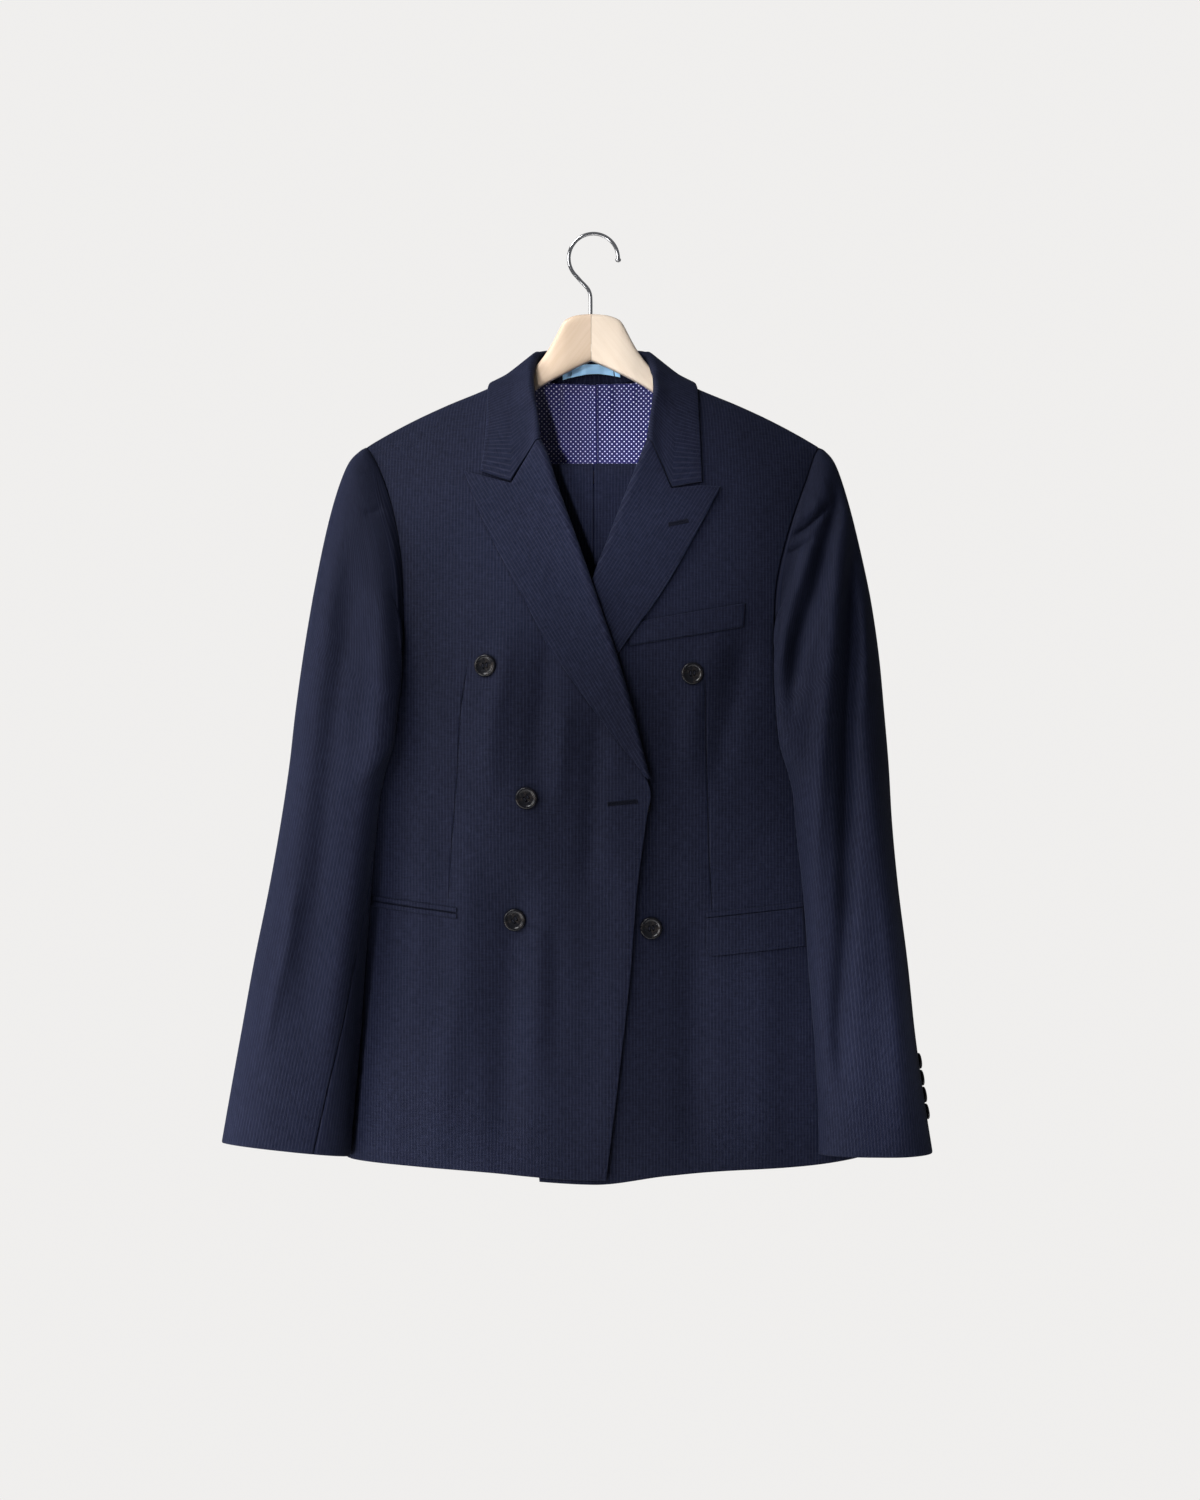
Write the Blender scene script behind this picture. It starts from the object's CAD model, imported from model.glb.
"""Looks of a two-piece suit on a wooden hanger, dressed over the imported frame.

Tables are in millimetres. X is to the viewer's right, Y away from the viewer, "down" is how far a
point lies below the rail at the origin. Right and left in names are the wearer's, so the right
front is at the viewer's left and lies on top. The surfaces are those of the part's own tables, in
finer steps, with the cloth's creases, seams and stripes on them.
"""

import math

import bpy
import numpy as np
from mathutils import Matrix
from mathutils.kdtree import KDTree


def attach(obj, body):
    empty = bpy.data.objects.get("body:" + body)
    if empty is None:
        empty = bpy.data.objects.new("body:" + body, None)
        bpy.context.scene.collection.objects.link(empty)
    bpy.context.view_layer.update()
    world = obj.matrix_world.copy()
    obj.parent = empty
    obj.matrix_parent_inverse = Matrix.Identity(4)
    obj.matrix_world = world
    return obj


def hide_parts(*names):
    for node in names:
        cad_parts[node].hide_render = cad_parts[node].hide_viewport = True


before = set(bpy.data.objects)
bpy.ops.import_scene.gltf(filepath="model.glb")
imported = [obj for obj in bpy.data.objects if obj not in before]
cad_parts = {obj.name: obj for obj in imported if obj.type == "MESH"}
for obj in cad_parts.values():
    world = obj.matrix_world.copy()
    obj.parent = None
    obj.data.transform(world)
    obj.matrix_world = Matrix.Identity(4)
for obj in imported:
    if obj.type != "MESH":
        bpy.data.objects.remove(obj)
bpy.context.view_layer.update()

MM = 0.001
CLOTH, DOUBLE, THIN = 2.0, 2.4, 1.0
SEAM = 0.3
POWER = 2.5
SIDE_Y = -8.0
SHOULDER_FALL = 120.0
SHOULDER_ROUND = 0.68
SEAM_FRONT, SEAM_BACK = 0.985, 0.88  # where the side panel's seams lie, as shares of the half width
NECK_HALF = 68.0  # from the middle of the back to the end of the shoulder seam
RIDGE_Y = 8.0, -18.0  # y of the shoulder at the neck, and how much it changes to the sleeve
SHOULDER_DOWN, FRONT_TOP, BACK_TOP = 203.5, 131.0, 140.0  # the armhole's top, and the fronts' and back's
ARMHOLE_DOWN, ARMHOLE_HALF = 324.3, 120.7  # the armhole's middle and half its height
GRID_BREAK = 440.0  # where the rows of a panel change from fanned to level
HEM_SAG = 4.5  # how much lower the front underneath hangs near its edge

BODY = (  # down, left, right, front, back
    (100, -214, 216, -46, 42),
    (200, -214, 217, -54, 50),
    (300, -213, 218, -64, 52),
    (380, -212, 219, -71, 50),
    (445, -211, 219, -71, 48),
    (520, -209, 221, -66, 44),
    (600, -210, 226, -61, 44),
    (700, -217, 238, -62, 50),
    (800, -226, 250, -66, 56),
    (900, -234, 260, -69, 60),
)
RIDGE = (  # distance from the middle, down
    (0, 98), (40, 116), (68, 131), (103, 148), (139, 163.5), (171, 179), (199, 194.5), (214, 203.5),
)
ARM_FRONT = (  # down, x at the viewer's left, x at the viewer's right
    (203.5, -214, 214), (212, -208, 210), (234, -197, 202), (265, -187, 190), (300, -180, 179),
    (350, -176.5, 170), (395, -178, 174), (425, -185.2, 193.2), (437, -198, 205), (443, -207, 214),
    (445, -211, 219),
)
ARM_BACK = (
    (203.5, -214, 214), (215, -207, 208), (240, -198, 200), (270, -191, 193), (310, -187, 188),
    (360, -184, 187), (400, -184, 190), (425, -185.2, 193.2), (437, -198, 205), (443, -207, 214),
    (445, -211, 219),
)
HEM = ((-240, 874), (-200, 876), (-110, 881), (10, 888.5), (120, 881), (210, 877), (262, 872))
TOP_EDGE = (  # the inner edge of the front that lies on top: down, x
    (131, -68), (158, -64.2), (181, -60.5), (200, -57), (215.5, -46), (245, -38.5), (291.5, -21),
    (330, -7), (364, 5), (402, 18), (455, 34), (501, 46), (519, 51.5), (527, 54), (550, 51),
    (614, 42.3), (703, 35), (777, 26.7), (832, 20), (889, 12.9),
)
UNDER_EDGE = (
    (131, 68), (155, 66.4), (177, 64), (202, 60), (231.5, 44.5), (260.5, 33), (295, 19.5),
    (330, 6), (400, -15), (460, -33), (500, -46), (524, -53), (560, -53.5), (700, -53), (860, -52),
    (889, -49),
)
LIFT = ((200, 0), (300, 8.5), (600, 8.5), (700, 5), (900, 5))  # down, how far the top front stands off
ROLL_TOP = (  # the folded edge of the lapel on top: down, x, roll radius
    (200.2, -47.6, 4.2), (215.5, -40.8, 4.2), (245, -31.6, 4.0), (291.5, -14.9, 3.8), (330, -1.6, 3.4),
    (364, 9.8, 3.2), (402, 22.8, 3.0), (454.5, 38, 2.6), (501, 49.6, 2.3), (516, 54.3, 2.0),
)
ROLL_UNDER = (
    (200.8, 50, 4.2), (231.5, 38.3, 3.8), (260.5, 26.8, 3.4), (295, 13.6, 2.9), (330, 0.3, 2.4),
    (400, -20.5, 2.2), (460, -38.2, 2.2), (500, -50.2, 2.2), (516, -54.4, 2.0),
)
OUTER_TOP = (  # the free edge of the lapel on top: down, x
    (229.7, -119.8), (275.5, -102), (317.5, -81), (357.5, -59.5), (390.5, -43), (421, -22),
    (445.5, -4.5), (481.5, 22.8), (513, 48.5),
)
OUTER_UNDER = (
    (244.6, 119.7), (291.5, 95), (341, 66.5), (373, 43.8), (402, 22.8), (450, -10), (498, -38),
    (512, -49.5),
)
JOIN = 0.6  # from the collar's end to the lapel's
COLLAR_BEND = 3.3  # the radius of the collar's fold
GORGE_TOP = ((-53.4, 198.6), (-75.7, 241.2), (-103.5, 230.9))  # x, down: roll, notch, collar corner
GORGE_UNDER = ((55.8, 199.2), (74.0, 245.9), (102, 240.4))
TIP_EDGE_TOP = ((-48, 198.8), (-75.2, 242.1), (-98, 235.8), (-119.8, 229.7))
TIP_EDGE_UNDER = ((50, 199.8), (73.5, 246.8), (98, 244.0), (119.7, 244.6))

COLLAR_BEHIND = (  # the viewer's right half: seam x, y, down; crease x, y, down; fall edge x, y, down
    (67.9, 0, 132.4, 54.4, 1, 119, 97.5, -1, 148.5),
    (67.6, 9, 130.6, 51.2, 10, 112.5, 95, 8, 144.5),
    (62, 19, 133.4, 46, 21, 108.5, 86, 27, 149),
    (45, 28.5, 136.8, 33, 30.5, 107, 60, 41, 150),
    (23, 34.5, 139.5, 16, 34.5, 107, 31, 46, 150),
)
COLLAR = (  # the same columns, from the viewer's left end round the back
    (-57.4, -48.5, 197.4, -48.2, -53, 196, -103.5, -51, 230.2),
    (-61, -42, 180, -50.8, -45.5, 179, -100.5, -42, 205),
    (-64.4, -28, 158, -55.3, -30, 152, -98.5, -26, 178),
    (-66.1, -10.5, 140, -56.3, -12, 133, -98, -9, 157),
    *[tuple(-w if k in (0, 3, 6) else w for k, w in enumerate(row)) for row in COLLAR_BEHIND],
    (0, 36, 139.5, 0, 35.5, 107, 0, 47, 150),
    *COLLAR_BEHIND[::-1],
    (67.2, -10.5, 140, 57.5, -12, 134, 98, -9, 158),
    (66.3, -28, 158, 58.2, -30, 152, 99, -26, 180),
    (64, -42, 180, 54, -45.5, 178.5, 100.5, -42, 211),
    (60.6, -48.5, 198, 50.2, -53, 197, 102, -53, 239.6),
)
SLEEVE_RIGHT = (  # down at the outer edge, outer x, down at the inner edge, inner x, front y, back y
    (203.5, -214, 445, -211, -40, 34),
    (209, -223, 449, -210, -46, 38),
    (222, -234, 453, -206, -52, 42),
    (250, -244, 457, -200, -57, 45),
    (290, -253.5, 461.5, -193, -61, 47),
    (345, -263.5, 467, -188, -64, 48),
    (400, -272.5, 475, -186, -66, 48),
    (455, -280, 490, -188, -67, 47),
    (505, -285.5, 520, -192.5, -68, 44),
    (560, -293.5, 568, -201, -69, 40),
    (620, -304, 624, -207.5, -70, 36),
    (690, -318, 692, -213.5, -71, 31),
    (755, -329.5, 758, -217.5, -72, 27),
    (815, -340, 822, -223.5, -74, 23),
    (859, -347.5, 872, -228, -75, 20),
)
SLEEVE_LEFT = (
    (203.5, 214, 445, 219, -40, 34),
    (209, 222.5, 449, 214, -47, 38),
    (222, 232, 453, 206, -54, 42),
    (250, 241, 457, 197, -60, 45),
    (290, 250.5, 461.5, 187, -66, 47),
    (345, 261.5, 467, 178, -70, 48),
    (400, 269.5, 475, 173, -73, 48),
    (455, 274.5, 490, 174, -75, 47),
    (505, 278.5, 520, 179, -76, 44),
    (560, 281.5, 568, 186, -77, 40),
    (620, 287, 624, 194, -78, 36),
    (690, 295.5, 692, 199, -80, 31),
    (755, 302, 758, 204, -82, 27),
    (815, 310, 818, 207.5, -84, 22),
    (867, 318, 867, 208, -85, 18),
)
CUFF_TILT_RIGHT, CUFF_TILT_LEFT = 9.0, 3.0
DRAPE_RIGHT = (  # where the sleeve's front hangs to, over the lower armhole: down, x
    (340, -173.6), (370, -175.3), (400, -176.6), (425, -178.6), (450, -181.8), (475, -184.6),
    (500, -188.2), (540, -194.5),
)
DRAPE_LEFT = (
    (330, 168.5), (370, 167), (400, 168.2), (425, 169.6), (450, 171.4), (475, 173.6), (500, 176.6),
    (540, 182.6),
)
SLEEVE_GAP, SLEEVE_TUCK = 5.8, 1.6
SLEEVE_ROUND = 0.86  # the power of cosine and sine in a sleeve's rings, which are fuller than ovals
FRONT_SEAM_RIGHT = ((0, 155), (640, 155), (705, 142), (790, 126), (870, 115))  # down, angle
FRONT_SEAM_LEFT = ((0, 165), (900, 165))
ELBOW_SEAM_RIGHT, ELBOW_SEAM_LEFT = -66.0, -25.0
CUFF_BUTTONS_RIGHT, CUFF_BUTTONS_LEFT = -48.0, -8.0
CUFF_BUTTON_DOWN = (784, 799.8, 815.6, 831.4)

FRONT_BUTTONS = (  # x, down, on top?, name
    (-98, 412, True, "button_right_top"),
    (-60.5, 534, True, "button_right_middle"),
    (-72.5, 648, True, "button_right_bottom"),
    (92.3, 419, False, "button_left_top"),
    (44, 541, False, "button_left_middle"),
    (54.5, 655.5, False, "button_left_bottom"),
)
BUTTON_R, BUTTON_THICK = 10.25, 3.4
CUFF_BUTTON_R, CUFF_BUTTON_THICK = 7.5, 3.0
BUTTON_PROFILE = (  # radius and height as shares of the button's own, from the middle of its underside
    (0.02, 0), (0.4, 0), (0.74, 0.02), (0.88, 0.12), (0.97, 0.32), (1.0, 0.55), (0.985, 0.76), (0.94, 0.92),
    (0.88, 0.99), (0.82, 0.985), (0.76, 0.9), (0.71, 0.76), (0.66, 0.665), (0.58, 0.63), (0.4, 0.62),
    (0.2, 0.615), (0.02, 0.615),
)
HOLE_APART = 0.17  # from the middle, as a share of the radius

ARM_WOOD = (  # distance from the middle, top, bottom, half thickness, y
    (0.15, 75.4, 120, 7.0, 0.0),
    (14, 76.6, 126, 7.0, 0.2),
    (24, 80, 131, 7.2, 0.6),
    (29, 85, 133.5, 7.2, 1.0),
    (38, 102, 138, 7.2, 2.4),
    (46, 114.5, 142, 7.0, 4.4),
    (56, 126.4, 148, 6.8, 6.6),
    (62, 131.6, 151.5, 6.8, 7.8),
    (68, 135.4, 154.5, 6.8, 8.0),
    (103, 151.4, 172, 7.2, 3.7),
    (139, 166.8, 191, 7.4, -0.8),
    (166, 180.8, 212, 7.4, -4.1),
    (182, 190.0, 240, 7.4, -6.1),
    (194, 198.4, 243, 7.0, -7.6),
    (200, 206, 232, 5.5, -8.2),
)
BAR_DOWN, BAR_R, BAR_HALF, BAR_Y = 231.0, 6.0, 189.0, -6.0
WIRE_R, WIRE_X = 1.75, -1.8  # the hook's wire, and where it enters the wood
HOOK_X, HOOK_R = 0.9, 23.5  # the middle and the radius of its bend

BAND_HALF = 144
LEG_PLIES = 7.2, 1.75  # from the bar's middle to the innermost ply, and from ply to ply
LEG_FRONT_DOWN, LEG_BACK_DOWN = 726.0, 700.0

# Creases pressed or worn into the cloth: points as x, down; then width and height, where a height
# below 0 is a trough. They fade out towards both ends.
FRONT_CREASES = (
    (((-112, 400), (-104, 500), (-100, 640)), 46, 4.5),
    (((-78, 370), (-83, 425), (-90, 462), (-93, 505), (-98, 545)), 11, 3.2),
    (((-40, 375), (-44, 425), (-50, 462), (-54, 499), (-56, 545)), 12, -3.4),
    (((-23, 440), (-25, 462), (-28, 499), (-34, 560)), 9, 2.6),
    (((10, 440), (6, 462), (3, 499), (-2, 583), (-6, 640)), 11, -3.6),
    (((-116, 560), (-118, 629), (-121, 676), (-124, 722), (-135, 769), (-141, 815), (-152, 905)), 17, 4.6),
    (((-66, 590), (-69, 629), (-75, 676), (-79, 722), (-81, 769), (-82, 905)), 18, -6.4),
    (((-48, 640), (-50, 722), (-54, 800)), 9, 1.6),
    (((-36, 640), (-33, 722), (-34, 800)), 9, -1.5),
    (((40, 560), (38, 640), (32, 720), (24, 800), (14, 905)), 25, 5.0),
    (((-152, 480), (-160, 640), (-166, 850)), 13, 1.8),
    (((122, 370), (108, 410), (96, 445), (90, 485), (86, 530)), 12, 3.0),
    (((146, 370), (138, 415), (130, 445), (121, 485), (116, 540)), 12, -3.6),
    (((60, 440), (64, 520), (66, 600)), 10, 1.6),
    (((97, 620), (95, 720), (95, 800), (97, 905)), 18, -5.4),
    (((160, 640), (158, 740), (158, 905)), 20, 3.6),
    (((174, 560), (144, 590), (112, 613)), 5, -1.0),
    (((-175, 470), (-150, 500), (-120, 512)), 6, -0.9),
    (((-182, 280), (-172, 292), (-160, 298)), 3, -0.9),
    (((-183, 268), (-174, 276), (-166, 280)), 2.5, -0.7),
)
BACK_CREASES = (
    (((-120, 260), (-70, 330), (-40, 420)), 12, -1.4),
    (((120, 255), (78, 330), (44, 420)), 12, -1.4),
    (((-150, 470), (-80, 500), (-10, 512)), 10, -1.3),
    (((150, 480), (90, 508), (20, 520)), 10, -1.2),
    (((-110, 620), (-118, 740), (-124, 850)), 13, -1.8),
    (((118, 600), (124, 730), (132, 850)), 13, -1.8),
    (((-60, 640), (-58, 740), (-60, 860)), 12, 1.4),
    (((62, 660), (66, 760), (70, 860)), 12, 1.3),
)
SLEEVE_RIGHT_CREASES = (
    (((-236, 226), (-244, 262), (-255, 330), (-266, 395), (-276, 460), (-285, 530)), 2.6, 1.5),
    (((-224, 262), (-229, 346), (-231, 379), (-235, 416), (-241, 453), (-245, 490), (-248, 527), (-252, 580),
      (-259, 638), (-265, 675), (-270, 720), (-280, 780)), 13, -5.5),
    (((-198, 230), (-194, 300), (-192, 346), (-191, 416), (-193, 453), (-198, 490), (-206, 540), (-214, 601),
      (-223, 660), (-232, 712), (-239, 749), (-244, 786), (-242, 860)), 17, 12.0),
    (((-274, 601), (-278, 638), (-283, 675), (-293, 712), (-301, 749), (-312, 790)), 7, 3.0),
    (((-322, 782), (-312, 790), (-302, 796)), 3.5, -2.0),
    (((-196, 262), (-206, 268), (-216, 268)), 3.5, -1.2),
)
SLEEVE_LEFT_CREASES = (
    (((226, 212), (229, 240), (227, 268), (219.5, 290), (212.5, 320), (205.5, 346), (197, 370),
      (190, 397), (187, 425), (184, 475)), 7.5, -11.0),
    (((225, 256), (217, 265), (204, 279), (191, 288), (183, 292)), 3.0, -4.6),
    (((214, 252), (207, 263), (197, 271), (186, 278)), 4.5, 2.8),
    (((208, 292), (200, 297), (190, 303), (179, 305)), 2.8, -3.0),
    (((210, 276), (204, 298), (195, 327), (183, 360), (176, 397), (172, 445)), 6.5, 5.0),
    (((236, 262), (234, 287), (232, 314), (226, 346), (221, 379), (219, 416), (215, 453), (210, 518),
      (206, 592), (206, 666), (209, 740), (209, 830)), 9, 6.0),
    (((246, 262), (245, 314), (242, 346), (241, 379), (239, 416), (237, 453), (236, 518), (235, 592),
      (235, 666)), 8.5, -16.5),
    (((235, 580), (235, 620), (234, 666), (230, 740), (233, 830)), 9, -11.0),
    (((247, 300), (248, 346), (252, 379), (254, 416), (254, 470)), 5, 3.4),
    (((254, 440), (259, 518), (267, 592), (276, 666), (282, 740), (286, 800), (289, 872)), 12, 6.5),
    (((274, 690), (283, 780), (288, 890)), 19, 4.5),
)
SLEEVE_BACK_CREASES = (  # x counted outwards from the middle of the body
    (((214, 290), (226, 380), (232, 450)), 8, -2.0),
    (((240, 420), (236, 500), (248, 560)), 8, 1.8),
    (((228, 520), (244, 548), (262, 560)), 6, -2.0),
    (((232, 560), (250, 584), (270, 590)), 6, -1.6),
    (((262, 620), (272, 700), (284, 780)), 9, -1.8),
)
DARTS = {  # x, down
    "right": ((-115.3, 412), (-120.6, 454.5), (-124.9, 518.5), (-130.4, 582.5), (-133.5, 632.6)),
    "left": ((104.4, 422), (105.4, 476), (107.4, 540), (109, 593), (111.8, 639)),
}


def smooth(at, table):
    """Each column of a table whose first column rises, read off along a smooth curve."""
    rows = np.asarray(table, float)
    keys, values = rows[:, 0], rows[:, 1:]
    at = np.clip(np.asarray(at, float), keys[0], keys[-1])
    slopes = np.gradient(values, keys, axis=0)
    i = np.clip(np.searchsorted(keys, at, side="right") - 1, 0, len(keys) - 2)
    step = (keys[i + 1] - keys[i])[..., None]
    q = (at[..., None] - keys[i][..., None]) / step
    a, b = values[i], values[i + 1]
    return (
        a * (1 + 2 * q) * (1 - q) ** 2
        + slopes[i] * step * q * (1 - q) ** 2
        + b * q**2 * (3 - 2 * q)
        + slopes[i + 1] * step * q**2 * (q - 1)
    )


def unit(vectors):
    """The same directions, each one long."""
    return vectors / np.linalg.norm(vectors, axis=-1, keepdims=True)


def circle(around):
    """Cosines and sines of the angles of a ring, as columns."""
    a = np.linspace(0, 2 * math.pi, around, endpoint=False)
    return np.cos(a)[:, None], np.sin(a)[:, None]


def lengths(points):
    """Distance along a path at each of its points, or down each column of a grid."""
    steps = np.linalg.norm(np.diff(points, axis=0), axis=-1)
    return np.concatenate([np.zeros_like(steps[:1]), np.cumsum(steps, axis=0)])


def read_off(at, keys, rows):
    """Every column of the rows, read off at these keys along straight lines."""
    return np.column_stack([np.interp(at, keys, column) for column in np.asarray(rows).T])


def between_rows(table, index):
    """A table read off smoothly at places counted in rows."""
    rows = np.asarray(table, float)
    return smooth(index, np.column_stack([np.arange(len(rows)), rows]))


def resample(points, fractions):
    """Points at these shares of the length of a path of straight pieces."""
    length = lengths(np.asarray(points, float))
    return read_off(np.asarray(fractions) * length[-1], length, points)


def along(points, count):
    """Points evenly spaced on a smooth path."""
    fine = between_rows(points, np.linspace(0, len(points) - 1, 40 * len(points)))
    return resample(fine, np.linspace(0, 1, count))


def ramp(value, start, end):
    """0 before the start, 1 past the end and a soft step between them."""
    q = np.clip((value - start) / (end - start), 0, 1)
    return q * q * (3 - 2 * q)


def spread(count, peaks=()):
    """Fractions from 0 to 1, closer together at each peak: where, how wide, how many times closer."""
    t = np.linspace(0, 1, 2001)
    density = np.ones_like(t)
    for at, width, closer in peaks:
        density += closer * np.exp(-(((t - at) / width) ** 2))
    total = np.concatenate([[0], np.cumsum((density[1:] + density[:-1]) / 2)])
    return np.interp(np.linspace(0, 1, count), total / total[-1], t)


def levels(count):
    """Shares of the way from the shoulder seam to the armpit, close together at the seam."""
    return np.linspace(0, 1, count) ** 1.5


def bent_line(points, first, second):
    """A line with a corner at its second point, cut into so many parts before and after it."""
    before = resample(points[:2], np.linspace(0, 1, first + 1))
    after = resample(points[1:], np.linspace(0, 1, second + 1))[1:]
    return np.concatenate([before, after])


def ridge(x):
    """How far down the top of the shoulder lies."""
    return smooth(np.abs(x), RIDGE)[..., 0]


def neck_down(x):
    """The seam behind the neck, where the collar meets the back."""
    return BACK_TOP - 9 * ramp(np.abs(x), 20, NECK_HALF)


def section(down):
    """The jacket's round at this height: its middle, half its width, and y in front and behind."""
    left, right, front, rear = np.moveaxis(smooth(down, BODY), -1, 0)
    return (left + right) / 2, (right - left) / 2, front, rear


def placed(x, y, down):
    """Points from x, y and how far down they lie."""
    return np.stack([x, y, -down], -1)


def body(x, down, back=False):
    """Y of the jacket's middle surface, in front or behind, at this x and height."""
    x, down = np.broadcast_arrays(np.asarray(x, float), np.asarray(down, float))
    middle, half, front, rear = section(down)
    t = np.clip(np.abs(x - middle) / half, 0, 1)
    round_off = (1 - t**POWER) ** (1 / POWER)
    full = SIDE_Y + ((rear if back else front) - SIDE_Y) * round_off
    fall = np.clip((down - ridge(x)) / SHOULDER_FALL, 0, 1)
    share = np.maximum(1 - (1 - fall) ** 2, 0) ** SHOULDER_ROUND
    top = RIDGE_Y[0] + RIDGE_Y[1] * np.clip((np.abs(x) - NECK_HALF) / 146, 0, 1)
    full = full * share + top * (1 - share)
    return full + (SEAM / 2 + 0.05 if back else -SEAM / 2 - 0.05)


def girth(x, down, back=False):
    """Distance round the jacket at this height, from the middle out to x."""
    share = np.linspace(0, 1, 40)
    px = np.asarray(x, float)[..., None] * share
    py = body(px, np.asarray(down, float)[..., None], back)
    step = np.hypot(np.diff(px, axis=-1), np.diff(py, axis=-1)).sum(-1)
    return step * np.sign(x)


def side_points(down, angle, left_side):
    """The round of the jacket's side: 0 is straight ahead and 180 straight back."""
    middle, half, front, rear = section(down)
    a = np.radians(angle)
    x = middle + (-half if left_side else half) * np.abs(np.sin(a)) ** (2 / POWER)
    depth = np.abs(np.cos(a)) ** (2 / POWER)
    y = SIDE_Y + np.where(angle < 90, front - SIDE_Y, rear - SIDE_Y) * depth
    return placed(x, y, down)


def seam_x(down, left_side, share):
    """Where a side seam lies, a share of the way from the jacket's middle to its outline."""
    middle, half, _, _ = section(down)
    return middle + (-1 if left_side else 1) * (share * half - SEAM / 2)


def front_y(x, down, on_top):
    """Y of a front's middle surface, where the front that lies on top stands off the other."""
    return body(x, down) - (smooth(down, LIFT)[..., 0] * ramp(x, -165, -50) if on_top else 0)


def tree_of(cloud):
    """A search tree over these points."""
    tree = KDTree(len(cloud))
    for index, point in enumerate(cloud):
        tree.insert(point, index)
    tree.balance()
    return tree


def softened(field, passes):
    """A field over a grid, evened out with its neighbours this many times."""
    for _ in range(passes):
        for axis in (0, 1):
            wide = np.concatenate([field.take([0], axis), field, field.take([-1], axis)], axis)
            n = field.shape[axis]
            before, after = [wide.take(range(k, k + n), axis) for k in (0, 2)]
            field = (before + 2 * field + after) / 4
    return field


def clear(points, cloud, normals, tree, gap, reach=1e9, passes=5):
    """Points moved out along the nearest normals until they stand this far off the cloud, evenly."""
    flat = points.reshape(-1, 3).copy()
    gap = np.broadcast_to(gap, points.shape[:2]).ravel()
    for _ in range(2):
        near = np.array([tree.find(p)[1] for p in flat])
        away = flat - cloud[near]
        height = (away * normals[near]).sum(-1)
        aside = np.linalg.norm(away - height[:, None] * normals[near], axis=1)
        push = np.maximum(gap - height, 0) * (1 - ramp(aside, 0.3 * reach, reach))
        flat += normals[near] * push[:, None]
    return points + softened(flat.reshape(points.shape) - points, passes)


def out_of_body(points, gap):
    """Points inside the jacket's round moved straight out from its middle, to this far off it."""
    x, y, down = points[..., 0], points[..., 1], -points[..., 2]
    middle, half, front, rear = section(down)
    depth = np.where(y < SIDE_Y, SIDE_Y - front, rear - SIDE_Y) + gap
    inside = np.abs((x - middle) / (half + gap)) ** POWER + np.abs((y - SIDE_Y) / depth) ** POWER
    grow = np.where(inside < 1, 1 / np.maximum(inside, 0.05) ** (1 / POWER), 1)
    return placed(middle + (x - middle) * grow, SIDE_Y + (y - SIDE_Y) * grow, down)


def normals_of(grid):
    """Unit normals of a grid of points."""
    du = np.gradient(grid, axis=1, edge_order=min(2, grid.shape[1] - 1))
    n = np.cross(du, np.gradient(grid, axis=0, edge_order=min(2, grid.shape[0] - 1)))
    return n / np.maximum(np.linalg.norm(n, axis=-1, keepdims=True), 1e-9)


def facing_way(normals, way):
    """The normals, all turned about if they mostly face against this way."""
    way = np.asarray(way, float)
    return normals * (1 if (normals[..., :way.shape[-1]] * way).sum() > 0 else -1)


def outward(grid, centre=(5, SIDE_Y)):
    """Normals of a grid, turned to face away from an upright line through its middle."""
    return facing_way(normals_of(grid), grid[..., :2] - np.asarray(centre, float))


def creased(x, down, creases):
    """Height of the creases at these places: soft troughs and ridges along their paths."""
    height = np.zeros(np.broadcast(x, down).shape)
    for path, width, tall in creases:
        line = along(path, 13)
        best, at = np.full(height.shape, 1e9), np.zeros(height.shape)
        for k, (start, run) in enumerate(zip(line[:-1], np.diff(line, axis=0))):
            q = np.clip(((x - start[0]) * run[0] + (down - start[1]) * run[1]) / (run @ run), 0, 1)
            gap = np.hypot(x - start[0] - q * run[0], down - start[1] - q * run[1])
            at = np.where(gap < best, (k + q) / 12, at)
            best = np.minimum(best, gap)
        height += tall * np.minimum(ramp(at, 0, 0.22), ramp(at, 1, 0.7)) * np.exp(-((best / width) ** 2))
    return height


# ---------------------------------------------------------------- surfaces, as (x, y, z, u, v) in mm


def with_uv(points, u, v):
    """The points with their places on the flat cloth behind them."""
    return np.concatenate([points] + [np.broadcast_to(w, points.shape[:2])[..., None] for w in (u, v)], -1)


def raised(points, height, normals=None):
    """Points moved out by a height, along these normals or the grid's own."""
    normals = outward(points) if normals is None else normals
    return points + normals * height[..., None]


def fold_centre(roll, rows, left_side):
    """Where a lapel's folded edge turns: the way in, the radius and the turn's centre."""
    edge = along(np.asarray(roll, float)[:, [1, 0, 2]], rows)
    tangent = unit(np.gradient(edge[:, :2], axis=0))
    inward = (1 if left_side else -1) * np.stack([tangent[:, 1], -tangent[:, 0]], -1)
    return inward, edge[:, 2], edge[:, :2] - inward * (edge[:, 2] + DOUBLE / 2)[:, None]


def dart_height(x, down, dart):
    """The groove of a sewn dart, shallow at its ends."""
    table = [(d, px) for px, d in dart]
    off = x - smooth(down, table)[..., 0]
    first, last = table[0][0], table[-1][0]
    ends = np.minimum(ramp(down, first - 4, first + 14), ramp(down, last + 2, last - 8))
    return -ends * (0.9 * np.exp(-((off / 0.8) ** 2)) + 0.5 * np.exp(-((off / 7) ** 2)))


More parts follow.
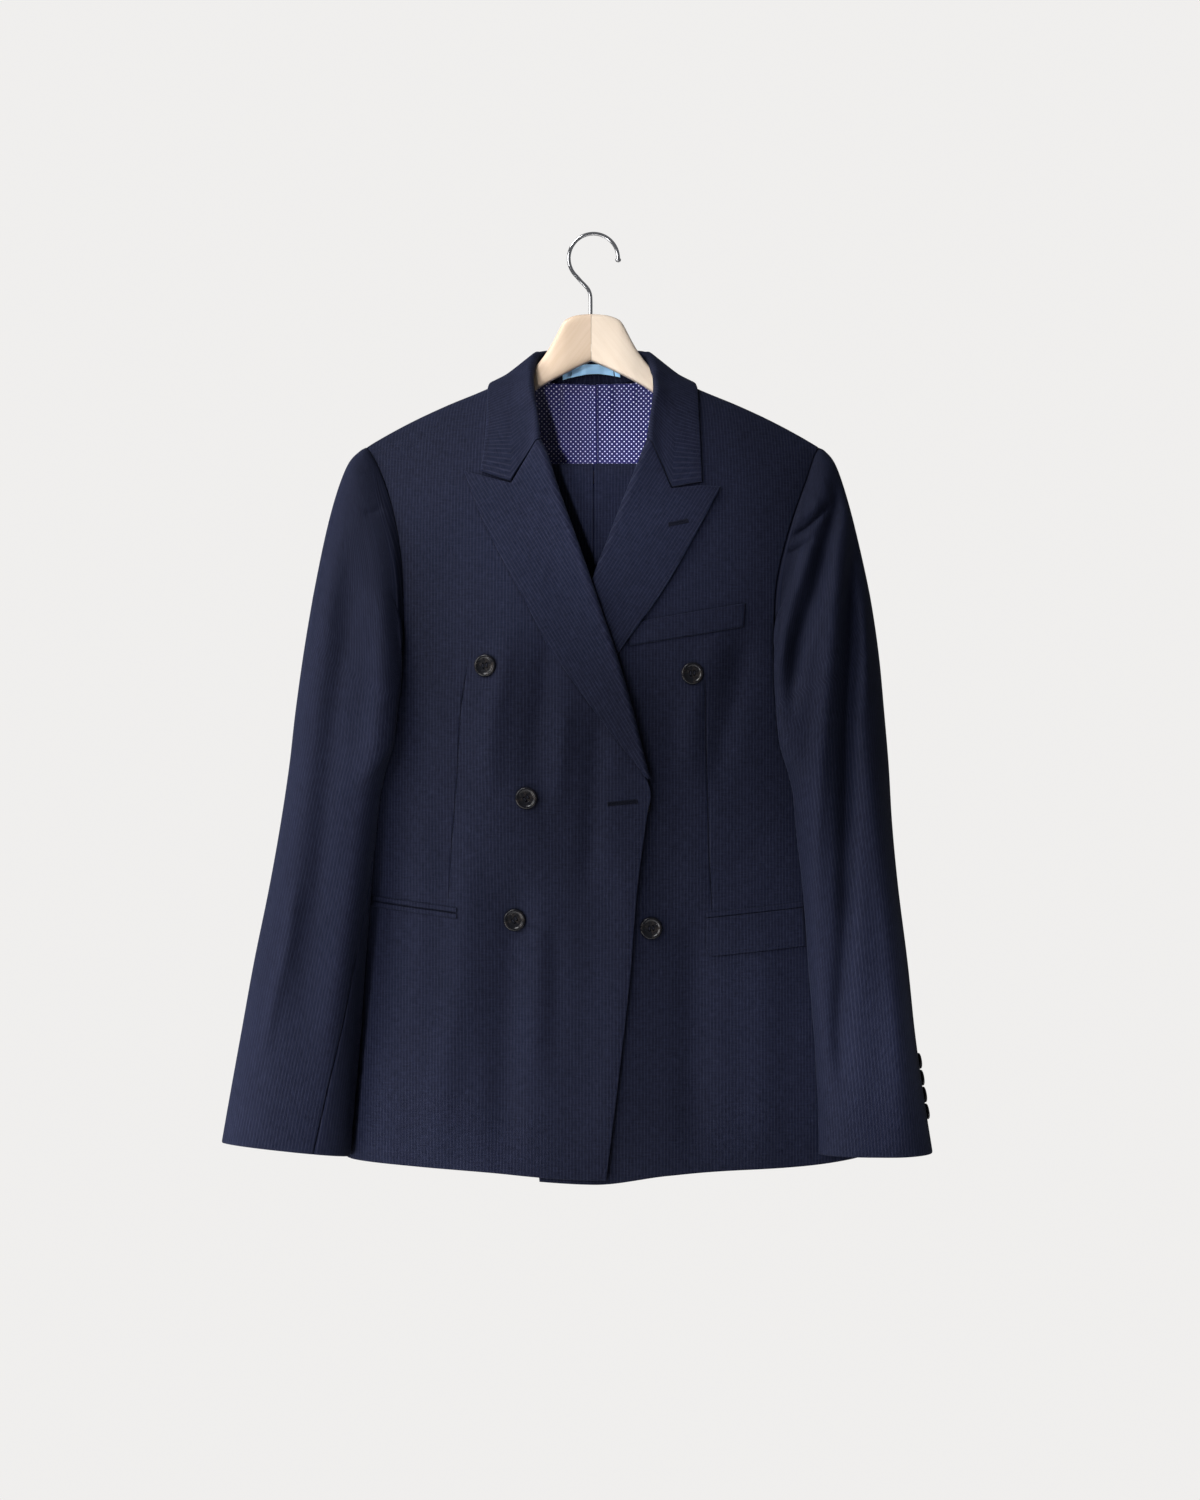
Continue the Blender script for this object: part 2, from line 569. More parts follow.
def front_grid(edge, roll, left_side, rows_up, rows_down, columns, dart=None):
    """The middle surface of a front, from its shoulder seam to its hem."""
    v = levels(rows_up)
    w = spread(rows_down + 1, ((1, 0.01, 3),))[1:]
    inner_down = np.concatenate([FRONT_TOP + (GRID_BREAK - FRONT_TOP) * v, GRID_BREAK + 449 * w])
    outer_down = np.concatenate([SHOULDER_DOWN + 240 * v, 443.5 + 432.5 * w])
    inner_x = smooth(inner_down, edge)[:, 0]
    inward, _, centre = fold_centre(roll, 60, left_side)
    folded = (inner_down > centre[0, 1]) & (inner_down < centre[-1, 1])
    turned = np.interp(inner_down, centre[:, 1], centre[:, 0] - inward[:, 0] * 1.1)
    inner_x = np.where(folded, turned, inner_x)
    arm = smooth(outer_down[:rows_up], ARM_FRONT)[:, 0 if left_side else 1]
    outer_x = np.concatenate([arm, seam_x(outer_down[rows_up:], left_side, SEAM_FRONT)])
    if dart is None:
        u = np.broadcast_to(1 - (1 - np.linspace(0, 1, columns)) ** 1.25, (len(inner_x), columns))
    else:
        at = smooth((inner_down + 2 * outer_down) / 3, [(d, x) for x, d in dart])[:, 0]
        place = (at - inner_x) / (outer_x - inner_x)
        u = np.stack([spread(columns, ((q, 0.016, 7), (0, 0.02, 2), (1, 0.03, 1.5))) for q in place])
    x = inner_x[:, None] + (outer_x - inner_x)[:, None] * u
    level = inner_down[:, None] + (outer_down - inner_down)[:, None] * u
    share = np.concatenate([(1 - v) ** 3, np.zeros(rows_down)])[:, None]
    down = level + (ridge(x[0]) - level[0]) * share
    hem = smooth(x[-1], HEM)[:, 0] + (0 if left_side else HEM_SAG * (1 - ramp(x[-1], 0, 70)))
    fade = np.concatenate([np.zeros(rows_up), w])[:, None]
    down = down + (hem - down[-1]) * fade**2
    points = placed(x, front_y(x, down, left_side), down)
    if dart is None:
        return points
    calm = ramp(down, 203, 300)
    height = creased(x, down, FRONT_CREASES) * calm + dart_height(x, down, dart)
    return with_uv(raised(points, height), girth(x, down), down)


def back_grid(left_side, rows_up, rows_down, columns, dressed=False):
    """The middle surface of half the back, from its shoulder seam to its hem."""
    v = levels(rows_up)
    w = np.linspace(0, 1, rows_down + 1)[1:]
    sign = -1 if left_side else 1
    middle = sign * SEAM / 2
    outer_down = np.concatenate([SHOULDER_DOWN + 221.5 * v, 425 + 447 * w])
    inner_down = np.concatenate([BACK_TOP + (GRID_BREAK - BACK_TOP) * v, GRID_BREAK + 432 * w])
    arm = smooth(outer_down[:rows_up], ARM_BACK)[:, 0 if left_side else 1]
    outer_x = np.concatenate([arm, seam_x(outer_down[rows_up:], left_side, SEAM_BACK)])
    u = np.linspace(0, 1, columns) ** 1.2
    x = middle + (outer_x - middle)[:, None] * u
    level = inner_down[:, None] + (outer_down - inner_down)[:, None] * u
    neck = np.where(np.abs(x[0]) < NECK_HALF, neck_down(x[0]), ridge(x[0]))
    share = np.concatenate([(1 - v) ** 3, np.zeros(rows_down)])[:, None]
    down = level + (neck - level[0]) * share
    points = placed(x, body(x, down, True), down)
    if not dressed:
        return points
    return with_uv(raised(points, creased(x, down, BACK_CREASES)), girth(x, down, True), down)


def side_grid(left_side, rows, columns, dressed=False):
    """The middle surface of a side panel, from the armpit to its hem."""
    before, behind = [math.degrees(math.asin(share ** (POWER / 2))) for share in (SEAM_FRONT, SEAM_BACK)]
    angle = np.linspace(before, 180 - behind, columns) + np.linspace(0.25, -0.25, columns)
    top_x = np.abs(side_points(np.full(columns, 435.0), angle, left_side)[:, 0])
    armpit = np.array(ARM_FRONT[7:], float)
    start = np.interp(top_x, np.abs(armpit[:, 1 if left_side else 2]), armpit[:, 0])
    share = np.linspace(0, 1, rows)[:, None] ** 1.1
    x_hem = side_points(np.full(columns, 874.0), angle, left_side)[:, 0]
    end = np.where(angle < 90, smooth(x_hem, HEM)[:, 0], 872)
    down = start + (end - start) * share
    points = side_points(down, np.broadcast_to(angle, down.shape), left_side)
    return with_uv(points, across(points), down) if dressed else points


def across(points):
    """Distance across a grid from its middle column, in every row."""
    total = lengths(np.swapaxes(points, 0, 1)).T
    return total - total[:, points.shape[1] // 2, None]


def cap_across(points, table, fifth, sign):
    """Distance across a sleeve, where its cap takes on the stripes of the fifth of its rings."""
    rows = np.asarray(table, float)[:6]
    x, y, down = points[..., 0], points[..., 1], -points[..., 2]
    edge, front, rear = [np.interp(down, rows[:, 0], rows[:, k]) for k in (1, 4, 5)]
    middle, half = (edge + rows[5, 3]) / 2, np.abs(edge - rows[5, 3]) / 2
    away = ((front + rear) / 2 - y) / ((rear - front) / 2)
    lean = 26 * ramp(down, 345, 215) * np.clip(np.abs(away), 0, 1)
    way = np.degrees(np.arctan2(away, (sign * (x - middle) - lean) / half))
    centre = np.degrees(np.angle(np.exp(1j * np.radians(way[fifth])).mean()))
    way = (way - centre + 180) % 360 - 180
    u = across(points)
    slope = (u[fifth, -1] - u[fifth, 0]) / (way[fifth, -1] - way[fifth, 0])
    order = np.argsort(way[fifth])
    low, high = way[fifth].min(), way[fifth].max()
    read = np.interp(way, way[fifth][order], u[fifth][order])
    read += slope * (np.minimum(way - low, 0) + np.maximum(way - high, 0))
    u[:fifth] = read[:fifth]
    return u


def lapel_grid(roll, outer, tip_edge, left_side, stand_off, rows, columns, turn=9):
    """A lapel: a half turn at its folded edge, then flat over the chest to its free edge."""
    inward, radius, centre = fold_centre(roll, rows, left_side)
    free = along(np.asarray(outer, float)[:, [1, 0]], rows)
    first, second = (columns - 1) // 2, columns - 1 - (columns - 1) // 2
    top = bent_line([tuple(centre[0])] + list(tip_edge[1:]), first, second)
    u = lengths(top) / lengths(top)[-1]
    v = np.linspace(0, 1, rows)
    bottom = centre[-1] + (free[-1] - centre[-1]) * u[:, None]
    across_u, down_v = u[None, :, None], v[:, None, None]
    flat = ((1 - down_v) * top[None] + down_v * bottom[None]
            + (1 - across_u) * centre[:, None] + across_u * free[:, None]
            - (1 - down_v) * ((1 - across_u) * top[0] + across_u * top[-1])
            - down_v * ((1 - across_u) * bottom[0] + across_u * bottom[-1]))
    x, down = flat[..., 0], flat[..., 1]
    near = np.exp(-np.linalg.norm(flat - flat[:, :1], axis=-1) / 26)
    off = np.maximum(2 * radius[:, None] * near + stand_off * (1 - near), stand_off)
    a = np.linspace(0, math.pi, turn + 1)[:-1]
    bend = centre[:, None] + inward[:, None] * radius[:, None, None] * np.sin(a)[None, :, None]
    bend_y = front_y(centre[:, 0], centre[:, 1], left_side)[:, None] - radius[:, None] * (1 - np.cos(a))
    points = np.concatenate([placed(bend[..., 0], bend_y, bend[..., 1]),
                             placed(x, front_y(x, down, left_side) - off, down)], 1)
    run = unit(free[-1] - free[0])
    return with_uv(points, points[..., 0] * run[1] + points[..., 2] * run[0],
                   points[..., 0] * run[0] - points[..., 2] * run[1])


def collar_grid(stations, across_stand, across_fall, turn, cloud):
    """Stand, crease and fall of the collar, from the viewer's left end round the back."""
    s = between_rows(COLLAR, np.linspace(0, len(COLLAR) - 1, stations))
    behind = (s[:, 1] > 12) & (s[:, 2] < 139.6)
    neck = neck_down(s[:, 0])
    s[:, 1] = np.where(behind, body(s[:, 0], neck, True), s[:, 1])
    s[:, 2] = np.where(behind, neck - 1.2, s[:, 2])
    seam, crease, edge = [s[:, k:k + 3] * (1, 1, -1) for k in (0, 3, 6)]
    up = unit(crease - (seam + edge) / 2)
    lateral = edge - seam
    lateral = unit(lateral - (lateral * up).sum(1)[:, None] * up)
    r = COLLAR_BEND
    inner, outer = crease - up * r - lateral * r, crease - up * r + lateral * r
    columns = [seam + (inner - seam) * q for q in np.linspace(0, 1, across_stand)]
    for a in np.radians(np.linspace(0, 180, turn + 2)[1:-1]):
        columns.append(crease - up * r - lateral * r * math.cos(a) + up * r * math.sin(a))
    for q in np.linspace(0, 1, across_fall):
        columns.append(outer + (edge - outer) * q + up * 3.0 * math.sin(math.pi * q))
    grid = np.stack(columns, 1)
    fall = across_stand + turn - 1
    reach = 4 * (stations - 1) / 24
    for end, gorge, roll, on_top in ((0, GORGE_TOP, ROLL_TOP, True), (-1, GORGE_UNDER, ROLL_UNDER, False)):
        inward, radius, centre = fold_centre(roll, 110, on_top)
        start = centre[0] - JOIN * unit(centre[1] - centre[0])
        before = across_fall // 2 + 1
        line = bent_line((tuple(start),) + gorge[1:], before, across_fall - before)[:grid.shape[1] - fall]
        target = grid[end].copy()
        a = np.linspace(0, math.pi, turn + 1)
        bend = start + radius[0] * np.sin(a)[:, None] * inward[0]
        bend_y = body(*start) - radius[0] * (1 - np.cos(a))
        target[across_stand - 1:fall + 1] = placed(bend[:, 0], bend_y, bend[:, 1])
        share = np.linspace(0, 1, across_stand)[:, None]
        target[:across_stand] = target[0] + (target[across_stand - 1] - target[0]) * share
        target[fall:, 0], target[fall:, 2] = line[:, 0], -line[:, 1]
        length = np.linspace(0, 60, len(line))
        target[fall:, 1] = body(line[:, 0], line[:, 1]) - np.maximum(3.2, 8.6 * np.exp(-length / 22))
        shift = target - grid[end]
        for k in range(int(reach)):
            place = k if end == 0 else -1 - k
            grid[place] += shift * (1 - k / reach) ** 2
    grid[:, fall:] = clear(grid[:, fall:], *cloud, 4.0)
    crease_length = lengths(grid[:, across_stand + turn // 2])
    return with_uv(grid, crease_length[:, None], across(grid))


def sleeve_grid(table, left_side, tilt, angles, stations, cloud, columns=0):
    """A sleeve's middle surface: rings fan from the armhole, then run down to the cuff.

    Angle 0 is the outer edge, 90 the front, 180 the side next to the body."""
    share = np.linspace(0, 1, stations)
    index = (share + 0.12 * (share**2 - share)) * (len(table) - 1)
    ring = between_rows(table, index)
    out = np.zeros((stations, len(angles(0.0)), 3))
    column = 0 if left_side else 1
    sign = -1 if left_side else 1
    for k, (down_o, x_o, down_i, x_i, front, rear) in enumerate(ring):
        a = np.radians(angles((down_o + down_i) / 2))
        c, s = [np.sign(w) * np.abs(w) ** SLEEVE_ROUND for w in (np.cos(a), np.sin(a))]
        mid = (front + rear) / 2
        x = (x_o + x_i) / 2 + (x_o - x_i) / 2 * c
        down = (down_o + down_i) / 2 + (down_o - down_i) / 2 * c
        y = mid + np.where(s > 0, (front - mid) * s, (mid - rear) * s)
        down = down + ramp(down_o, 600, 860) * tilt * (y - mid) / max(rear - front, 1)
        oval = placed(x, y, down)
        hole_down = ARMHOLE_DOWN - ARMHOLE_HALF * np.cos(a)
        hx = np.where(s > 0, *[smooth(hole_down, arm)[:, column] for arm in (ARM_FRONT, ARM_BACK)])
        hy = np.where(s > 0, body(hx, hole_down), body(hx, hole_down, True))
        hole = placed(hx + sign * 0.3, hy, hole_down + 0.6 * (1 - c) / 2)
        blend = min(index[k] / 5, 1) ** (0.9 - 0.7 * np.clip(c, 0, 1)[:, None] ** 2)
        out[k] = hole * (1 - blend) + oval * blend
    from_hole = np.linalg.norm(out - out[0], axis=-1)
    off = 0.4 + (SLEEVE_GAP - 0.4) * ramp(from_hole, 1, 30)
    below = ramp(-out[..., 2], 418, 438)[..., None]
    out = out_of_body(out, off) * below + out * (1 - below)
    if not columns:
        return out
    x, down = out[..., 0], -out[..., 2]
    room = sign * (smooth(down, DRAPE_RIGHT if left_side else DRAPE_LEFT)[..., 0] - x)
    angle = np.array([angles((r[0] + r[2]) / 2) for r in ring])
    ahead = ramp(angle, 75, 120) * ramp(angle, 212, 180)
    over = ahead * ramp(down, 325, 372) * ramp(down, 535, 480) * ramp(from_hole, 2, 18)
    over = softened(np.minimum(room, 0) * over, 2)
    out[..., 0] += sign * over
    _, normals, tree = cloud
    sewn = out[0].copy()
    out = clear(out, *cloud, off, 7.0)
    out[0] = sewn
    under = softened(normals[[tree.find(p)[1] for p in sewn]][None], 3)[0]
    out -= under[None] * (SLEEVE_TUCK * (1 - ramp(from_hole, 0, 5)))[..., None]
    even = np.zeros((stations, columns, 3))
    for k, line in enumerate(out):
        length = lengths(line)
        even[k] = read_off(np.linspace(SEAM / 2, length[-1] - SEAM / 2, columns), length, line)
    return even


# ---------------------------------------------------------------- meshes


def dress(made, node=None):
    """Puts a piece on the suit, in place of a CAD node if it has one."""
    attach(made, "root")
    if node:
        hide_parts(node)
    return made


def new_object(name, points, faces, looks=(), uv=None, inner_from=None):
    """A smooth mesh from points in mm. Faces from inner_from on take the second look."""
    mesh = bpy.data.meshes.new(name)
    mesh.from_pydata((np.asarray(points, float) * MM).tolist(), [], faces)
    obj = bpy.data.objects.new(name, mesh)
    bpy.context.scene.collection.objects.link(obj)
    for look in looks:
        mesh.materials.append(look)
    if uv is not None:
        layer = mesh.uv_layers.new(name="cloth")
        corner = np.zeros(len(mesh.loops), np.int32)
        mesh.loops.foreach_get("vertex_index", corner)
        layer.data.foreach_set("uv", (np.asarray(uv, float)[corner] * MM).ravel())
    if inner_from is not None:
        mesh.polygons.foreach_set("material_index", (np.arange(len(faces)) >= inner_from).astype(np.int32))
    mesh.shade_smooth()
    return obj


def edged(grid, near=(0.6, 1.5)):
    """The grid with two more rows and columns close to each edge, for a rounded rim."""
    for axis in (0, 1):
        grid = np.moveaxis(grid, axis, 0)
        sides = []
        for edge, inside in ((grid[0], grid[1]), (grid[-1], grid[-2])):
            step = np.linalg.norm((inside - edge)[..., :3], axis=-1)
            shares = [np.minimum(d / np.maximum(step, 1e-6), top) for d, top in zip(near, (0.3, 0.62))]
            sides.append([edge] + [edge + (inside - edge) * q[..., None] for q in shares])
        grid = np.stack(sides[0] + list(grid[1:-1]) + sides[1][::-1])
        grid = np.moveaxis(grid, 0, axis)
    return grid


def from_edge(grid, edge):
    """The same grid with its named edge first: T, B, L or R."""
    grid = grid if edge in "TB" else np.swapaxes(grid, 0, 1)
    return grid[::-1] if edge in "BR" else grid


def rim_profile(shape, edges, values):
    """Values for the rows or columns next to the named edges."""
    field = np.zeros(shape)
    for edge in edges:
        view = from_edge(field, edge)
        for k, value in enumerate(values):
            view[k] = np.maximum(view[k], value)
    return field


SEWN = {}  # the points and normals of the middle surface of each node's piece


def cloth(node, grid, looks, thick=CLOTH, seams="", facing=None, dip=0.8, ending="cloth"):
    """A closed sheet for a CAD node, with rounded rims that dip where it is sewn on.

    facing is the way its right side looks, or None for away from the middle of the jacket."""
    grid = edged(grid)
    points = grid[..., :3]
    normals = outward(points) if facing is None else facing_way(normals_of(points), facing)
    points = points - normals * rim_profile(points.shape[:2], seams, (dip, 0.5 * dip, 0.15 * dip))[..., None]
    half = thick / 2 * (1 - rim_profile(points.shape[:2], "TBLR", (0.5, 0.14)))[..., None]
    outer, inner = points + normals * half, points - normals * half
    rows, columns = points.shape[:2]
    index = np.arange(rows * columns).reshape(rows, columns)
    quads = np.stack([index[:-1, :-1], index[:-1, 1:], index[1:, 1:], index[1:, :-1]], -1).reshape(-1, 4)
    ring = np.concatenate([index[0], index[1:, -1], index[-1, -2::-1], index[-2:0:-1, 0]])
    over = np.roll(ring, -1)
    rim = np.stack([over, ring, ring + rows * columns, over + rows * columns], -1)
    first = outer.reshape(-1, 3)[quads[0]]
    if np.dot(np.cross(first[1] - first[0], first[2] - first[0]), normals[0, 0]) < 0:
        quads, rim = quads[:, ::-1], rim[:, ::-1]
    faces = np.concatenate([quads, rim, quads[:, ::-1] + rows * columns]).tolist()
    both = np.concatenate([outer.reshape(-1, 3), inner.reshape(-1, 3)])
    uv = np.concatenate([grid[..., 3:5].reshape(-1, 2)] * 2)
    inside_from = len(quads) + len(rim) if len(looks) > 1 else None
    made = dress(new_object(f"{node}_{ending}", both, faces, looks, uv, inside_from), node)
    # The sheet's cut: its greatest width and length, and its flat area.
    SEWN[node] = points, normals


def loft(rings):
    """Points and faces of a closed tube through rings of points."""
    rings = np.asarray(rings, float)
    count, around = rings.shape[:2]
    index = np.arange(count * around).reshape(count, around)
    nxt = np.roll(index, -1, axis=1)
    faces = np.stack([index[:-1], nxt[:-1], nxt[1:], index[1:]], -1).reshape(-1, 4).tolist()
    faces += [index[0][::-1].tolist(), index[-1].tolist()]
    points = rings.reshape(-1, 3)
    p = [points[[f[k] for f in faces]] for k in (0, 1, 2)]
    if np.einsum("ij,ij->i", p[0], np.cross(p[1], p[2])).sum() < 0:
        faces = [f[::-1] for f in faces]
    return points, faces


def tube(path, radius, around):
    """Points and faces of a closed round tube along a path."""
    path = np.asarray(path, float)
    tangent = unit(np.gradient(path, axis=0))
    aside = np.cross(tangent, (0, 1, 0))
    aside[np.linalg.norm(aside, axis=1) < 1e-6] = (1, 0, 0)
    aside = unit(aside)
    other = np.cross(tangent, aside)
    c, s = circle(around)
    radius = np.broadcast_to(radius, (len(path),))
    return loft(path[:, None] + radius[:, None, None] * (c * aside[:, None] + s * other[:, None]))


def joined(name, parts, looks, node=None):
    """One object from many small closed pieces, which rides on the suit."""
    points, faces, start = [], [], 0
    for part_points, part_faces in parts:
        points.append(part_points)
        faces += [[k + start for k in face] for face in part_faces]
        start += len(part_points)
    return dress(new_object(name, np.concatenate(points), faces, looks), node)


def thread_piece(centre, direction, normal, length, radius, lift=0.0):
    """One stitch: a short rounded thread that lies on the cloth."""
    d, n = unit(direction), unit(normal)
    c, s = circle(6)
    rings = []
    for along_it, size, high in ((-0.5, 0.35, -0.6), (-0.3, 1, 0), (0.3, 1, 0), (0.5, 0.35, -0.6)):
        middle = centre + d * length * along_it + n * (lift + radius * high)
        rings.append(middle + radius * size * (c * np.cross(d, n) + s * n))
    return loft(rings)


def stitches(path, normals, pitch=3.4, length=1.5, radius=0.26):
    """A run of pick stitches along a path on the cloth."""
    total = lengths(path)
    at = np.arange(pitch / 2, total[-1], pitch)
    spots, ways = read_off(at, total, path), read_off(at, total, normals)
    return [thread_piece(p, t, n, length, radius) for p, t, n in zip(spots, np.gradient(spots, axis=0), ways)]


def inset_line(points, normals, edge, depth, thick):
    """A line on a grid's right side, this far in from the named edge, and its normals."""
    grid, ways = from_edge(points, edge), from_edge(normals, edge)
    step = lengths(grid)
    row = np.array([np.interp(depth, column, np.arange(len(step))) for column in step.T])
    low = np.floor(row).astype(int)
    q = (row - low)[:, None]
    c = np.arange(grid.shape[1])
    spot = grid[low, c] * (1 - q) + grid[np.minimum(low + 1, len(grid) - 1), c] * q
    return spot + ways[low, c] * (thick / 2 + 0.02), ways[low, c]


# ---------------------------------------------------------------- materials


class Nodes:
    """A small helper that adds nodes to one material and wires them."""

    def __init__(self, name):
        self.material = bpy.data.materials.new(name)
        self.material.use_nodes = True
        self.tree = self.material.node_tree
        self.shader = self.tree.nodes["Principled BSDF"]

    def add(self, kind, **settings):
        made = self.tree.nodes.new(kind)
        for key, value in settings.items():
            if key.startswith("in_"):
                key = key[3:]
                made.inputs[int(key) if key.isdigit() else key.replace("_", " ")].default_value = value
            else:
                setattr(made, key, value)
        return made

    def link(self, source, target):
        self.tree.links.new(source, target)

    def math(self, operation, first, second=None, third=None):
        made = self.add("ShaderNodeMath", operation=operation)
        for k, value in enumerate((first, second, third)):
            if value is None:
                continue
            if isinstance(value, (int, float)):
                made.inputs[k].default_value = value
            else:
                self.link(value, made.inputs[k])
        return made.outputs[0]

    def mix(self, factor, first, second):
        made = self.add("ShaderNodeMix", data_type="RGBA")
        for socket, value in ((made.inputs[0], factor), (made.inputs[6], first), (made.inputs[7], second)):
            if isinstance(value, (int, float)):
                socket.default_value = value
            elif isinstance(value, tuple):
                socket.default_value = (*value, 1)
            else:
                self.link(value, socket)
        return made.outputs[2]

    def cloth_uv(self):
        uv = self.add("ShaderNodeUVMap", uv_map="cloth")
        split = self.add("ShaderNodeSeparateXYZ")
        self.link(uv.outputs[0], split.inputs[0])
        return uv.outputs[0], split.outputs[0], split.outputs[1]

    def place(self):
        return self.add("ShaderNodeTexCoord").outputs["Object"]

    def noise(self, vector, sizes, detail=2.0, rough=0.5):
        """Noise with this many of its features to a metre along each axis."""
        stretch = self.add("ShaderNodeMapping")
        stretch.inputs["Scale"].default_value = sizes
        self.link(vector, stretch.inputs[0])
        made = self.add("ShaderNodeTexNoise", in_Scale=1.0, in_Detail=detail, in_Roughness=rough)
        self.link(stretch.outputs[0], made.inputs["Vector"])
        return made.outputs["Fac"]

    def threads(self, uv, wide, tall, detail=2.0, rough=0.5):
        """Noise whose features are this wide and tall in mm."""
        return self.noise(uv, (1 / (wide * MM), 1 / (tall * MM), 1), detail, rough)

    def ranged(self, value, low, high, to_low=0.0, to_high=1.0, kind="LINEAR"):
        made = self.add("ShaderNodeMapRange", interpolation_type=kind, **{
            "in_From Min": low, "in_From Max": high, "in_To Min": to_low, "in_To Max": to_high})
        self.link(value, made.inputs[0])
        return made.outputs[0]

    def line(self, value, times, plus):
        return self.math("ADD", plus, self.math("MULTIPLY", value, times))

    def crevice(self, reach, least):
        """1 on open cloth, falling to `least` where other cloth stands within `reach` of it."""
        open_share = self.add("ShaderNodeAmbientOcclusion", samples=6, in_Distance=reach).outputs["AO"]
        return self.ranged(open_share, 0.3, 0.86, least)

    def times(self, colour, share):
        made = self.add("ShaderNodeVectorMath", operation="SCALE")
        self.link(colour, made.inputs[0])
        self.link(share, made.inputs["Scale"])
        return made.outputs[0]

    def finish(self, colour, rough, height, distance, strength, **values):
        """Wires the colour, the roughness and the bump, and gives the shader's other values."""
        self.link(colour, self.shader.inputs["Base Color"])
        self.link(rough, self.shader.inputs["Roughness"])
        if height:
            made = self.add("ShaderNodeBump", in_Strength=strength, in_Distance=distance)
            self.link(height, made.inputs["Height"])
            self.link(made.outputs[0], self.shader.inputs["Normal"])
        for key, value in values.items():
            self.shader.inputs[key.replace("_", " ")].default_value = value
        return self.material


PITCH = 3.1  # from one pinstripe to the next
GROUND, STRIPE, DARK_YARN = (0.0093, 0.0110, 0.0235), (0.0145, 0.0159, 0.0292), (0.0036, 0.0047, 0.0122)
TWILL, TWILL_SLOPE = 0.62, 1.7
CREVICE = 0.004, 0.1  # its reach in metres, and how dark it gets
DOT_STEP, DOT_R = 4.72, 0.63


def suit_cloth():
    """Navy worsted with a tone-on-tone pinstripe, a fine twill and soft yarn variation."""
    m = Nodes("suit_wool")
    uv, u, v = m.cloth_uv()
    phase = m.math("FRACT", m.math("MULTIPLY", u, 1 / (PITCH * MM)))
    from_line = m.math("ABSOLUTE", m.math("SUBTRACT", phase, 0.5))
    stripe = m.ranged(from_line, 0.20, 0.06, kind="SMOOTHSTEP")
    yarn, weft = m.threads(uv, 0.45, 7, 2.0, 0.6), m.threads(uv, 9, 0.5, 2.0, 0.6)
    flecks = m.math("MULTIPLY", m.math("ADD", yarn, weft), 0.5)
    ground = m.mix(m.ranged(flecks, 0.38, 0.62), DARK_YARN, GROUND)
    base = m.mix(m.math("MULTIPLY", stripe, m.line(yarn, 0.9, 0.3)), ground, STRIPE)
    slubs = m.math("ADD", m.threads(uv, 1.5, 9, 2.0, 0.6), m.threads(uv, 10, 1.6, 2.0, 0.6))
    shade = m.math("MULTIPLY", m.line(m.noise(uv, (26, 13, 1)), 0.28, 0.86), m.crevice(*CREVICE))
    shade = m.math("MULTIPLY", shade, m.ranged(slubs, 0.7, 1.3, 0.76, 1.24))
    across_rib = m.math("ADD", u, m.math("MULTIPLY", v, TWILL_SLOPE))
    twill = m.math("SINE", m.math("MULTIPLY", across_rib, 2 * math.pi / (TWILL * MM)))
    relief = m.math("ADD", flecks, m.math("MULTIPLY", stripe, 0.5))
    height = m.math("ADD", m.math("MULTIPLY", twill, 0.25), relief)
    return m.finish(m.times(base, shade), m.line(flecks, 0.14, 0.62), height, 0.00009, 0.6, Sheen_Weight=0.02,
                    Sheen_Roughness=0.5, Sheen_Tint=(0.5, 0.6, 1.0, 1), Specular_IOR_Level=0.07)


def lining_satin(name, dots):
    """Violet-navy satin, with rows of small white dots or plain. Each row is half a step aside."""
    m = Nodes(name)
    uv, u, v = m.cloth_uv()
    warp = m.threads(uv, 0.3, 6)
    ground = m.mix(m.noise(uv, (40, 12, 1), 3.0), (0.0075, 0.0080, 0.070), (0.015, 0.0155, 0.112))
    if dots:
        shares = []
        for shift in (0.0, 0.5):
            steps = [m.math("ADD", m.math("MULTIPLY", w, 1 / (DOT_STEP * MM)), shift) for w in (u, v)]
            offs = [m.math("SUBTRACT", m.math("FRACT", step), 0.5) for step in steps]
            squares = [m.math("MULTIPLY", off, off) for off in offs]
            shares.append(m.math("POWER", m.math("ADD", *squares), 0.5))
        spot = m.ranged(m.math("MINIMUM", *shares), (DOT_R + 0.12) / DOT_STEP, (DOT_R - 0.14) / DOT_STEP,
                        kind="SMOOTHSTEP")
        ground = m.mix(spot, ground, (0.76, 0.75, 0.90))
    return m.finish(m.times(ground, m.crevice(*CREVICE)), m.line(warp, 0.16, 0.36), warp, 0.00005, 0.5,
                    Specular_IOR_Level=0.45, Anisotropic=0.4, Sheen_Weight=0.1, Sheen_Roughness=0.3)


def ribbon_blue():
    """Light blue woven ribbon with fine ribs and no lettering."""
    m = Nodes("ribbon_blue")
    uv, _, v = m.cloth_uv()
    cloud = m.noise(uv, (60, 200, 1), 3.0)
    rib = m.math("SINE", m.math("MULTIPLY", v, 2 * math.pi / (0.7 * MM)))
    return m.finish(m.mix(cloud, (0.29, 0.56, 0.92), (0.45, 0.74, 0.99)), m.line(cloud, 0.2, 0.38),
                    m.math("ADD", rib, cloud), 0.00008, 0.5, Specular_IOR_Level=0.5, Sheen_Weight=0.2)


def dark_thread(name, colour, rough):
    """Sewing thread with a fine ply."""
    m = Nodes(name)
    ply = m.noise(m.place(), (3000, 3000, 3000))
    return m.finish(m.mix(ply, *[tuple(share * c for c in colour) for share in (0.7, 1.3)]),
                    m.line(ply, 0.1, rough - 0.05), ply, 0.00006, 0.5, Specular_IOR_Level=0.08)


